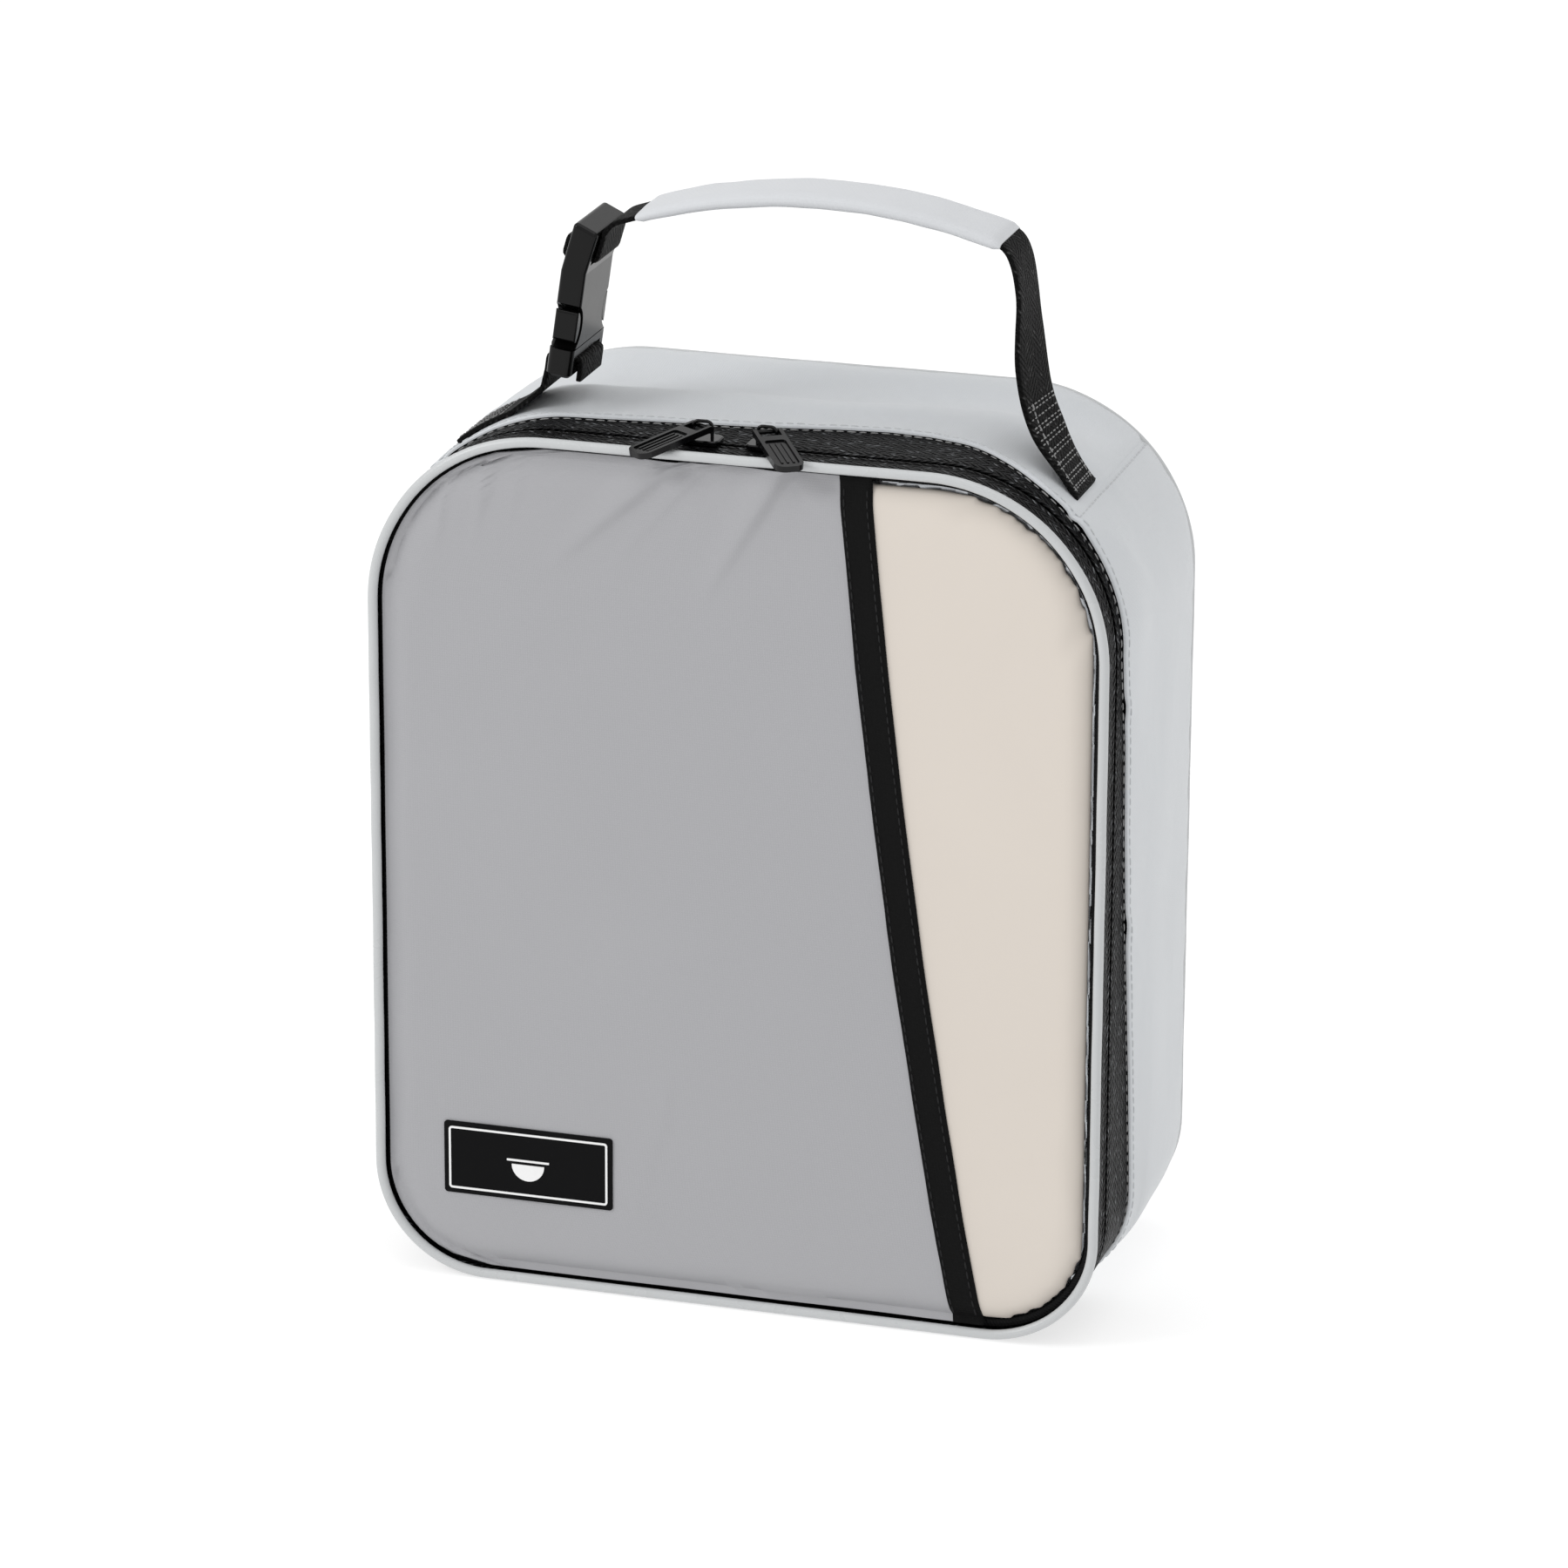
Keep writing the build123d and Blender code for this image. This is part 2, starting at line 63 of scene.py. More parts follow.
def edges(node):
    """A node's lowest and highest corners, in millimetres."""
    low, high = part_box(node)
    return np.array(low) * 1000, np.array(high) * 1000


# %% [markdown]
# The bag is a rounded outline with a depth. Every cloth wall, tape and edge follows that outline
# at some inset, so one function that walks round it gives them all a common seam line.

# %% Sizes read from the frame
WIDTH = edges("back_piping")[1][0] * 2
HEIGHT = edges("back_piping")[1][2]
BACK = edges("back_piping")[1][1]
FRONT = edges("front_piping")[0][1]
PIPING = (edges("back_piping")[1][1] - edges("back_piping")[0][1]) / 2
WALL_START = edges("gusset_top")[0][1]
WALL_END = edges("gusset_top")[1][1]
TOP_ROUND = 53.0
BOTTOM_ROUND = 34.0
SEAM_ANGLE = 46.0
ZIP_END = 56.0
HANDLE_Y = (edges("handle_webbing")[0][1] + edges("handle_webbing")[1][1]) / 2


def outline_legs():
    """The outline's straight and round legs, from the bottom middle towards +X and round."""
    half, low, top = WIDTH / 2, BOTTOM_ROUND, TOP_ROUND
    side = HEIGHT - low - top
    return [
        ("line", (0, 0), (1, 0), half - low),
        ("arc", (half - low, low), low, -90),
        ("line", (half, low), (0, 1), side),
        ("arc", (half - top, HEIGHT - top), top, 0),
        ("line", (half - top, HEIGHT), (-1, 0), 2 * (half - top)),
        ("arc", (top - half, HEIGHT - top), top, 90),
        ("line", (-half, HEIGHT - top), (0, -1), side),
        ("arc", (low - half, low), low, 180),
        ("line", (low - half, 0), (1, 0), half - low),
    ]


def leg_length(leg):
    return leg[3] if leg[0] == "line" else leg[2] * math.pi / 2


LEGS = outline_legs()
ROUND = sum(leg_length(leg) for leg in LEGS)


def outline_at(s):
    """Points on the outline and their outward directions, at distances s round it."""
    s = np.mod(np.asarray(s, float), ROUND)
    points, out = np.zeros((len(s), 2)), np.zeros((len(s), 2))
    start = 0.0
    for leg in LEGS:
        here = (s >= start - 1e-9) & (s <= start + leg_length(leg) + 1e-9)
        t = s[here] - start
        if leg[0] == "line":
            points[here] = np.array(leg[1]) + t[:, None] * np.array(leg[2])
            out[here] = (leg[2][1], -leg[2][0])
        else:
            angle = math.radians(leg[3]) + t / leg[2]
            out[here] = np.stack([np.cos(angle), np.sin(angle)], 1)
            points[here] = np.array(leg[1]) + leg[2] * out[here]
        start += leg_length(leg)
    return points, out


def corner_distance(angle):
    """How far round the outline the top right corner's angle is."""
    return sum(leg_length(leg) for leg in LEGS[:3]) + TOP_ROUND * math.radians(angle)


def spaced(start, end, step):
    return np.linspace(start, end, max(2, int(round(abs(end - start) / step)) + 1))


SEAM_RIGHT = corner_distance(SEAM_ANGLE)
SEAM_LEFT = ROUND - SEAM_RIGHT
print("outline is", round(ROUND, 1), "mm round")

# %% [markdown]
# Most cloth pieces are grids: rows along a path, columns round a closed section.
# The grid keeps its own lengths as UV coordinates in metres, so a weave has its real thread size
# and follows the cloth round corners.

# %% Grid meshes
SHARP = math.radians(50)


def grid(name, points, uv, wrap_u=False, wrap_v=True, caps=True):
    """A mesh from a grid of points in millimetres. uv is the pair of lengths along rows and columns."""
    n, m = points.shape[:2]
    u, v = uv
    faces, coords = [], []
    for i in range(n if wrap_u else n - 1):
        for j in range(m if wrap_v else m - 1):
            i2, j2 = (i + 1) % n, (j + 1) % m
            faces.append((i * m + j, i * m + j2, i2 * m + j2, i2 * m + j))
            coords += [u[i], v[j], u[i], v[j + 1], u[i + 1], v[j + 1], u[i + 1], v[j]]
    if wrap_v and caps and not wrap_u:
        for i in (0, n - 1):
            faces.append(tuple(range(i * m, i * m + m)))
            for j in range(m):
                coords += [u[i] + v[j] * 0.3, v[j]]
    mesh = bpy.data.meshes.new(name)
    mesh.from_pydata((points.reshape(-1, 3) * MM).tolist(), [], faces)
    layer = mesh.uv_layers.new(name="cloth")
    layer.data.foreach_set("uv", np.array(coords, float) * MM)
    turn_outwards(mesh)
    return smoothed(name, mesh)


def linked(name, data):
    """A new object in the scene."""
    obj = bpy.data.objects.new(name, data)
    bpy.context.scene.collection.objects.link(obj)
    return obj


def smoothed(name, mesh):
    """The object of a mesh, smooth but for its sharp edges."""
    mesh.shade_smooth()
    mesh.set_sharp_from_angle(angle=SHARP)
    return linked(name, mesh)


def turn_outwards(mesh, close=False):
    """Turns a mesh's faces outwards, first closing its open ends if asked."""
    work = bmesh.new()
    work.from_mesh(mesh)
    if close:
        bmesh.ops.holes_fill(work, edges=[e for e in work.edges if e.is_boundary], sides=0)
    bmesh.ops.recalc_face_normals(work, faces=work.faces)
    work.to_mesh(mesh)
    work.free()


def lengths(points, loop=False):
    """Running length along a row of points, with one more value that closes a loop."""
    steps = np.linalg.norm(np.diff(points, axis=0), axis=1)
    run = np.concatenate([[0], np.cumsum(steps)])
    last = np.linalg.norm(points[0] - points[-1]) if loop else 0
    return np.append(run, run[-1] + last)


def merge(name, parts):
    """One object from several, with their UVs."""
    work = bmesh.new()
    for part in parts:
        work.from_mesh(part.data)
    mesh = bpy.data.meshes.new(name)
    work.to_mesh(mesh)
    work.free()
    for part in parts:
        bpy.data.objects.remove(part)
    return smoothed(name, mesh)


MATERIALS = {}


def put(obj, body, slot, *nodes, skin=None):
    """Gives a piece its finish and hides the nodes that it stands for; a piece on one CAD body is hung from that
    body's empty, and one shared by two bodies is only fixed in place.
    """
    obj.data.materials.clear()
    obj.data.materials.append(MATERIALS[skin or slot])
    if isinstance(body, str):
        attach(obj, body)
    else:
        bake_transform(obj)
    if nodes:
        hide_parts(*nodes)
    print(f"{obj.name}: {len(obj.data.polygons)} faces on {body if isinstance(body, str) else body[:2]}")
    return obj


# %% [markdown]
# ## Finishes
# Each finish is a Principled material. What changes over a surface comes from small node groups:
# a plain weave, slanting ribs for tapes, slow creases, crinkled foil and scuffs.
# A group is built once and placed in each material with its own sizes.

# %% Node helpers


def start_group(name, inputs, outputs):
    tree = bpy.data.node_groups.new(name, "ShaderNodeTree")
    for label, kind, value in inputs:
        socket = tree.interface.new_socket(label, in_out="INPUT", socket_type=kind)
        if value is not None:
            socket.default_value = value
    for label, kind in outputs:
        tree.interface.new_socket(label, in_out="OUTPUT", socket_type=kind)
    return tree, tree.nodes.new("NodeGroupInput").outputs, tree.nodes.new("NodeGroupOutput").inputs


def calc(tree, operation, *values):
    """A Math node on sockets or numbers."""
    node = tree.nodes.new("ShaderNodeMath")
    node.operation = operation
    for i, value in enumerate(values):
        if isinstance(value, (int, float)):
            node.inputs[i].default_value = value
        else:
            tree.links.new(value, node.inputs[i])
    return node.outputs[0]


def wave(tree, value, width):
    """A row of round humps of one width."""
    return calc(tree, "ABSOLUTE", calc(tree, "SINE", calc(
        tree, "MULTIPLY", calc(tree, "DIVIDE", value, width), math.pi)))


def cloud(tree, place, scale, detail=2.0, distortion=0.0):
    """A Noise texture's value."""
    node = tree.nodes.new("ShaderNodeTexNoise")
    node.inputs["Scale"].default_value = scale
    node.inputs["Detail"].default_value = detail
    node.inputs["Distortion"].default_value = distortion
    tree.links.new(place, node.inputs["Vector"])
    return node.outputs["Fac"]


FLOAT, VECTOR = "NodeSocketFloat", "NodeSocketVector"


def weave_group():
    """Plain weave: each thread goes over and under its neighbours."""
    tree, given, out = start_group(
        "plain weave",
        [("Place", VECTOR, None), ("Thread", FLOAT, 0.0006)],
        [("Height", FLOAT), ("Tone", FLOAT)])
    split = tree.nodes.new("ShaderNodeSeparateXYZ")
    tree.links.new(given["Place"], split.inputs[0])
    u = calc(tree, "DIVIDE", split.outputs[0], given["Thread"])
    v = calc(tree, "DIVIDE", split.outputs[1], given["Thread"])
    warp = calc(tree, "ABSOLUTE", calc(tree, "SINE", calc(tree, "MULTIPLY", u, math.pi)))
    weft = calc(tree, "ABSOLUTE", calc(tree, "SINE", calc(tree, "MULTIPLY", v, math.pi)))
    over = calc(tree, "FLOORED_MODULO", calc(tree, "ADD", calc(tree, "FLOOR", u), calc(tree, "FLOOR", v)), 2.0)
    under = calc(tree, "SUBTRACT", 1.0, over)
    height = calc(tree, "ADD", calc(tree, "MULTIPLY", warp, over), calc(tree, "MULTIPLY", weft, under))
    tree.links.new(height, out["Height"])
    tree.links.new(cloud(tree, given["Place"], 700.0, 1.0), out["Tone"])
    return tree


def rib_group():
    """Ribs that slant one way and back again across the tape, as in webbing, and a mask of rib tops in random
    patches for a painted highlight.
    """
    tree, given, out = start_group(
        "slanting ribs",
        [("Place", VECTOR, None), ("Rib", FLOAT, 0.0012), ("Slant", FLOAT, 1.0), ("Stripe", FLOAT, 0.004)],
        [("Height", FLOAT), ("Tone", FLOAT), ("Crown", FLOAT)])
    split = tree.nodes.new("ShaderNodeSeparateXYZ")
    tree.links.new(given["Place"], split.inputs[0])
    zigzag = calc(tree, "PINGPONG", split.outputs[1], given["Stripe"])
    along = calc(tree, "ADD", split.outputs[0], calc(tree, "MULTIPLY", zigzag, given["Slant"]))
    ribs = wave(tree, along, given["Rib"])
    cords = wave(tree, split.outputs[1], given["Rib"])
    height = calc(tree, "MULTIPLY", ribs, calc(tree, "ADD", 0.55, calc(tree, "MULTIPLY", cords, 0.45)))
    tree.links.new(height, out["Height"])
    tree.links.new(cloud(tree, given["Place"], 900.0, 1.0), out["Tone"])
    # painted highlight: a mask on the rib tops, in random patches, where the threads would catch the light
    chance = cloud(tree, given["Place"], 300.0, 2.0)
    lit = calc(tree, "MULTIPLY", calc(tree, "SUBTRACT", chance, 0.55), 16.0)
    lit = calc(tree, "MINIMUM", calc(tree, "MAXIMUM", lit, 0.0), 1.0)
    crown = calc(tree, "MULTIPLY", calc(tree, "POWER", height, 5.0), lit)
    tree.links.new(crown, out["Crown"])
    return tree


def crease_group():
    """Slow unevenness of handled cloth, as a height and a tone."""
    tree, given, out = start_group(
        "soft creases", [("Place", VECTOR, None), ("Scale", FLOAT, 18.0)],
        [("Height", FLOAT), ("Tone", FLOAT)])
    big = cloud(tree, given["Place"], 18.0, 3.0, 0.6)
    tree.links.new(given["Scale"], big.node.inputs["Scale"])
    small = cloud(tree, given["Place"], 120.0, 2.0, 0.2)
    height = calc(tree, "ADD", big, calc(tree, "MULTIPLY", small, 0.12))
    tree.links.new(height, out["Height"])
    tree.links.new(big, out["Tone"])
    return tree


def foil_group():
    """Thin foil that keeps sharp little folds."""
    tree, given, out = start_group("crinkled foil", [("Place", VECTOR, None)],
                                   [("Height", FLOAT), ("Tone", FLOAT)])
    cells = tree.nodes.new("ShaderNodeTexVoronoi")
    cells.feature = "DISTANCE_TO_EDGE"
    cells.inputs["Scale"].default_value = 75.0
    bent = tree.nodes.new("ShaderNodeVectorMath")
    shift = tree.nodes.new("ShaderNodeTexNoise")
    shift.inputs["Scale"].default_value = 40.0
    bent.operation = "MULTIPLY_ADD"
    tree.links.new(given["Place"], shift.inputs["Vector"])
    tree.links.new(shift.outputs["Color"], bent.inputs[0])
    bent.inputs[1].default_value = (0.02, 0.02, 0.02)
    tree.links.new(given["Place"], bent.inputs[2])
    tree.links.new(bent.outputs[0], cells.inputs["Vector"])
    folds = calc(tree, "MINIMUM", calc(tree, "MULTIPLY", cells.outputs["Distance"], 3.0), 1.0)
    height = calc(tree, "ADD", folds, cloud(tree, given["Place"], 60.0, 3.0))
    tree.links.new(height, out["Height"])
    tree.links.new(folds, out["Tone"])
    return tree


def scuff_group():
    """Rubbed patches and fine moulding grain of a hard part."""
    tree, given, out = start_group("scuffs", [("Place", VECTOR, None)], [("Height", FLOAT), ("Tone", FLOAT)])
    grain = cloud(tree, given["Place"], 2500.0, 1.0)
    rubs = cloud(tree, given["Place"], 160.0, 4.0, 0.8)
    tree.links.new(calc(tree, "ADD", calc(tree, "MULTIPLY", grain, 0.3), rubs), out["Height"])
    tree.links.new(rubs, out["Tone"])
    return tree


GROUPS = {"weave": weave_group(), "ribs": rib_group(), "creases": crease_group(),
          "foil": foil_group(), "scuffs": scuff_group()}
print("node groups:", ", ".join(g.name for g in GROUPS.values()))

# %% [markdown]
# One function builds a finish: where its pattern is placed, which groups raise its surface and by how many
# metres, how much its colour and gloss vary, and the constants of the shader itself.
# Constants such as sheen and specular level stay on the shader's own sockets.

# %% Finishes


def srgb(r, g, b):
    """A colour as seen, to the linear values that the shader needs."""
    return tuple(((c / 255 + 0.055) / 1.055) ** 2.4 if c > 10 else c / 255 / 12.92 for c in (r, g, b)) + (1.0,)


def finish(name, colour, rough, relief, vary=0.06, gloss_vary=0.08, uv=True, metal=0.0, crown=None, **shader):
    """A material. relief lists (group, height in metres, its own inputs); the first one's Tone varies the
    colour, and crown is a painted highlight: a lighter colour painted on the thread tops where they would catch
    the light."""
    mat = bpy.data.materials.new(name)
    mat.use_nodes = True
    tree = mat.node_tree
    principled = tree.nodes["Principled BSDF"]
    place = tree.nodes.new("ShaderNodeTexCoord").outputs["UV" if uv else "Object"]
    total, tone, lit = None, None, None
    for kind, height, values in relief:
        group = tree.nodes.new("ShaderNodeGroup")
        group.node_tree = GROUPS[kind]
        tree.links.new(place, group.inputs["Place"])
        for key, value in values.items():
            group.inputs[key].default_value = value
        part = calc(tree, "MULTIPLY", group.outputs["Height"], height)
        total = part if total is None else calc(tree, "ADD", total, part)
        tone = group.outputs["Tone"] if tone is None else tone
        lit = group.outputs["Crown"] if kind == "ribs" else lit
    bump = tree.nodes.new("ShaderNodeBump")
    bump.inputs["Distance"].default_value = 1.0
    tree.links.new(total, bump.inputs["Height"])
    tree.links.new(bump.outputs[0], principled.inputs["Normal"])
    mix = tree.nodes.new("ShaderNodeMix")
    mix.data_type = "RGBA"
    mix.inputs["A"].default_value = tuple(c * (1 - vary) for c in colour[:3]) + (1.0,)
    mix.inputs["B"].default_value = tuple(min(1, c * (1 + vary)) for c in colour[:3]) + (1.0,)
    tree.links.new(tone, mix.inputs["Factor"])
    # painted highlight: the crown colour is mixed into the base colour on the thread tops that the mask marks as
    # lit
    if crown:
        top = tree.nodes.new("ShaderNodeMix")
        top.data_type = "RGBA"
        top.inputs["B"].default_value = crown
        tree.links.new(lit, top.inputs["Factor"])
        tree.links.new(mix.outputs["Result"], top.inputs["A"])
        mix = top
    tree.links.new(mix.outputs["Result"], principled.inputs["Base Color"])
    spread = calc(tree, "ADD", rough - gloss_vary / 2, calc(tree, "MULTIPLY", tone, gloss_vary))
    tree.links.new(spread, principled.inputs["Roughness"])
    principled.inputs["Metallic"].default_value = metal
    for key, value in shader.items():
        principled.inputs[key.replace("_", " ").title().replace("Ior", "IOR")].default_value = value
    MATERIALS[name] = mat
    return mat


WEAVE = ("weave", 0.00003, {"Thread": 0.0007})
CREASE = ("creases", 0.0012, {"Scale": 16.0})
finish("body_cloth", srgb(196, 199, 202), 0.42, [CREASE, WEAVE], 0.03,
       sheen_weight=0.12, specular_ior_level=0.35)
finish("pocket_cloth", srgb(160, 160, 163), 0.5, [("creases", 0.0008, {"Scale": 11.0}), WEAVE], 0.025,
       sheen_weight=0.08, specular_ior_level=0.3)
finish("panel_cloth", srgb(206, 198, 189), 0.5,
       [("creases", 0.0009, {"Scale": 14.0}), ("scuffs", 0.00003, {})], 0.02,
       uv=False, sheen_weight=0.08, specular_ior_level=0.3)
finish("piping", srgb(186, 188, 189), 0.28, [("creases", 0.0004, {"Scale": 60.0}), WEAVE], 0.03,
       specular_ior_level=0.5)
# painted highlight: the crown colour lightens the thread tops as if they caught the light
finish("black_webbing", srgb(9, 9, 9), 0.6,
       [("ribs", 0.0004, {"Rib": 0.0019, "Slant": 0.9, "Stripe": 0.0052}),
        ("weave", 0.00012, {"Thread": 0.0008})],
       0.35, crown=srgb(70, 70, 70), specular_ior_level=0.08)
finish("black_binding", srgb(15, 15, 15), 0.75,
       [("ribs", 0.00008, {"Rib": 0.0009, "Slant": 0.0, "Stripe": 0.02}), ("creases", 0.0004, {"Scale": 40.0})],
       0.3, specular_ior_level=0.08)
# painted highlight: the crown colour paints light grey glints on the thread tops
finish("zip_tape", srgb(3, 3, 4), 0.4,
       [("ribs", 0.0008, {"Rib": 0.0026, "Slant": 1.2, "Stripe": 0.0026}),
        ("weave", 0.00012, {"Thread": 0.0008})],
       0.4, crown=srgb(122, 124, 127), specular_ior_level=0.05)
finish("zip_coil", srgb(14, 14, 15), 0.35, [("scuffs", 0.00002, {})], 0.2, specular_ior_level=0.35)
finish("foam", srgb(225, 225, 220), 0.9, [("scuffs", 0.0002, {}), ("creases", 0.0005, {"Scale": 90.0})], 0.05,
       uv=False)
finish("foil_lining", srgb(196, 199, 203), 0.3, [("foil", 0.0009, {})], 0.06, 0.16, uv=False, metal=0.9)
finish("lining_binding", srgb(18, 18, 19), 0.65,
       [("ribs", 0.00018, {"Rib": 0.0011, "Slant": 0.5, "Stripe": 0.003})], 0.3, specular_ior_level=0.15)
finish("black_plastic", srgb(6, 6, 6), 0.2, [("scuffs", 0.000008, {})], 0.3, 0.1, uv=False,
       specular_ior_level=0.2)
finish("zip_metal", srgb(4, 4, 5), 0.2, [("scuffs", 0.000015, {})], 0.35, 0.15, uv=False,
       specular_ior_level=0.28)
finish("grip_cloth", srgb(198, 200, 203), 0.5, [CREASE, WEAVE], 0.03, sheen_weight=0.12, specular_ior_level=0.3)
finish("label_rubber", srgb(8, 8, 9), 0.55, [("scuffs", 0.00002, {})], 0.25, 0.12, uv=False,
       specular_ior_level=0.08)
finish("label_print", srgb(228, 228, 228), 0.45, [("scuffs", 0.00003, {})], 0.04, uv=False)
finish("pale_thread", srgb(184, 186, 188), 0.6, [("scuffs", 0.00003, {})], 0.12, uv=False)
finish("grey_thread", srgb(128, 128, 128), 0.55, [("scuffs", 0.00003, {})], 0.2, uv=False)
finish("black_thread", srgb(26, 26, 27), 0.55, [("scuffs", 0.00003, {})], 0.2, uv=False, specular_ior_level=0.2)
print("finishes:", len(MATERIALS))

# %% [markdown]
# ## The walls
# The gusset is one long strip of coated cloth sewn from a top and a lower piece. It puffs between its seams,
# puckers along them and dips behind the handle. A single swell function says how far the cloth stands out
# at any place, so the foam under it and the stitches on it agree with it.

# %% How far the wall's cloth stands out


def smooth(value, low, high):
    t = min(1.0, max(0.0, (value - low) / (high - low)))
    return t * t * (3 - 2 * t)


def hump(value, centre, half):
    return math.exp(-((value - centre) / half) ** 2)


def wobble(a, b, c, scale):
    return noise.noise(Vector((a, b, c)) / scale)


CREASES = [  # from (distance round, y) to (distance round, y), height, half width
    (SEAM_RIGHT - 4, -24, SEAM_RIGHT - 46, 6, 0.7, 2.6),
    (SEAM_RIGHT - 60, -27, SEAM_RIGHT - 78, -8, 0.5, 2.4),
    (SEAM_RIGHT - 128, -27, SEAM_RIGHT - 146, -12, 0.5, 2.6),
    (SEAM_LEFT + 10, -24, SEAM_LEFT + 52, 2, 0.6, 2.8),
]


def from_segment(a, b, a0, b0, a1, b1):
    """How far along a segment a place is, from 0 to 1, how far from it, and on which side."""
    along, here = np.array([a1 - a0, b1 - b0]), np.array([a - a0, b - b0])
    t = min(1.0, max(0.0, float(here @ along) / float(along @ along)))
    return t, float(np.linalg.norm(here - t * along)), along[1] * here[0] - along[0] * here[1]


def crease_height(s, y):
    """The raised lines where the cloth is pulled at a corner."""
    total = 0.0
    for *ends, height, half in CREASES:
        t, gap, _ = from_segment(s, y, *ends)
        total += height * math.exp(-(gap / half) ** 2) * (1 - t * 0.7)
    return total


HEM_TOP = [(-110, -7), (-94, -5), (-80, -2), (-60, 1), (-45, 2.5), (0, 8), (20, 12), (35, 13.8), (48, 12.3),
           (60, 8), (72, 2.2), (83, -2.5), (94, -5.2), (110, -6)]       # along the top, by x
HEM_SIDE = [(0, 16), (20, 16), (43, 14.7), (70, 11.6), (97, 7.7), (124, 3.9), (151, 1), (178, -0.5),
            (205, -5.5), (240, -6)]                                             # up the sides, by z
HEM_REACH = 34.0


def hem_shift(x, z):
    """How far back the cloth's front hem lies, from its place in the frame: the cloth is cut back in the
    middle of the top and down the sides, and pulled forward over the tape at the upper corners."""
    by_top = np.interp(x, *zip(*HEM_TOP))
    by_side = np.interp(z, *zip(*HEM_SIDE)) * smooth(abs(x), 66, 98)
    part = smooth(z, 222, 244)
    return float(by_top * part + by_side * (1 - part))


def hem_share(y):
    """How much of the hem's shift the cloth has at y: all of it at the hem, none further back."""
    return 1 - smooth(y, WALL_START, WALL_START + HEM_REACH)


def wall_swell(x, z, up, s, y):
    """How far the cloth stands out from the plain wall, in millimetres."""
    t = min(1.0, max(0.0, (y - WALL_START) / (WALL_END - WALL_START)))
    arch = math.sin(math.pi * t)
    top = smooth(up, 0.72, 0.97)
    ridge = 6 + 4 * math.sin(x / 50)
    side_shape = 1.5 * arch ** 0.7 + 1.0 * smooth(z, 178, 214) * hump(y, WALL_START + 12, 9)
    step = smooth(y, ridge - 2, ridge + 16) * (1 - smooth(y, ridge + 18, 44))
    top_shape = 2.0 * hump(y, ridge - 5, 13) - 2.4 * step + 0.8 * hump(y, 42, 6)
    value = (1 - top) * side_shape + top * top_shape
    value += 1.0 * wobble(x, y * 1.2, z, 34) * arch
    near_seam = math.exp(-(y - WALL_START) / 7) + 0.7 * math.exp(-(WALL_END - y) / 6)
    value += 0.5 * wobble(s, y * 0.4, 3.0, 6.5) * near_seam * (1 - math.exp(-abs(y - WALL_START) / 1.5))
    value += crease_height(s, y)
    for side in (SEAM_RIGHT, SEAM_LEFT):
        value -= 0.9 * hump(s, side, 1.6)
        value += 0.35 * hump(s, side, 7.0)
    for side in (corner_distance(56), ROUND - corner_distance(56)):
        pressed = (hump(s, side, 13) * smooth(y, HANDLE_Y - 16, HANDLE_Y - 9)
                   * (1 - smooth(y, HANDLE_Y + 9, HANDLE_Y + 16)))
        value *= 1 - min(1.0, 1.25 * pressed)
    return value * (1 - smooth(-up, 0.35, 0.9))


def carry(name, s, section, swell=None, loop=False, hem=None):
    """A closed section of (inset, y, share of the swell) carried round part or all of the outline."""
    points, out = outline_at(s)
    rows = np.zeros((len(s), len(section), 3))
    for i, (p, n) in enumerate(zip(points, out)):
        shift = hem(p[0], p[1]) if hem else 0.0
        for j, (inset, y, share) in enumerate(section):
            if swell and share:
                inset = inset - share * swell(p[0], p[1], n[1], s[i] % ROUND, y)
            y += shift * hem_share(y)
            rows[i, j] = (p[0] - n[0] * inset, y, p[1] - n[1] * inset)
    flat = np.array([(a, b) for a, b, _ in section])
    u = np.append(s, s[-1] + (s[1] - s[0]))
    return grid(name, rows, (u, lengths(flat, True)), wrap_u=loop)


def wall_section(outer, inner, y0, y1, step, outer_share=1.0, inner_share=1.0, edge=0.35):
    """A thin wall's section, with softened edges."""
    ys = spaced(y0 + edge, y1 - edge, step)
    outside = [(outer + edge, y0, outer_share)] + [(outer, y, outer_share) for y in ys]
    outside += [(outer + edge, y1, outer_share)]
    inside = [(inner - edge * 0.5, y1, inner_share)] + [(inner, y, inner_share) for y in ys[::-1]]
    return outside + inside + [(inner - edge * 0.5, y0, inner_share)]


def whole_round(step):
    return np.linspace(0, ROUND, int(ROUND / step), endpoint=False)


# %% [markdown]
# The top piece runs from one corner seam to the other; the lower piece takes the rest, under the base.
# Both are thin closed shells.

# %% Gusset cloth, foam and lining
cloth = wall_section(0, 1, WALL_START, WALL_END, 2.4)
top = carry("gusset_top_cloth", spaced(SEAM_RIGHT, SEAM_LEFT, 2.2), cloth, wall_swell, hem=hem_shift)
put(top, "shell", "body_cloth", "gusset_top")
lower = carry("gusset_lower_cloth", spaced(SEAM_LEFT, ROUND + SEAM_RIGHT, 2.2), cloth, wall_swell,
              hem=hem_shift)
put(lower, "shell", "body_cloth", "gusset_lower")

foam_box = edges("gusset_foam")
pad_wall = wall_section(2.05, 4.9, foam_box[0][1] + 14.5, foam_box[1][1], 4, 1.0, 0.0)
wall_foam = carry("wall_foam", whole_round(4), pad_wall, wall_swell, loop=True)
put(wall_foam, "shell", "foam", "gusset_foam")


def closed_round(name, points, u, flat):
    """A grid that runs right round, with its two open ends filled in."""
    obj = grid(name, points, (u, lengths(flat)), wrap_u=True, wrap_v=False)
    turn_outwards(obj.data, close=True)
    return obj


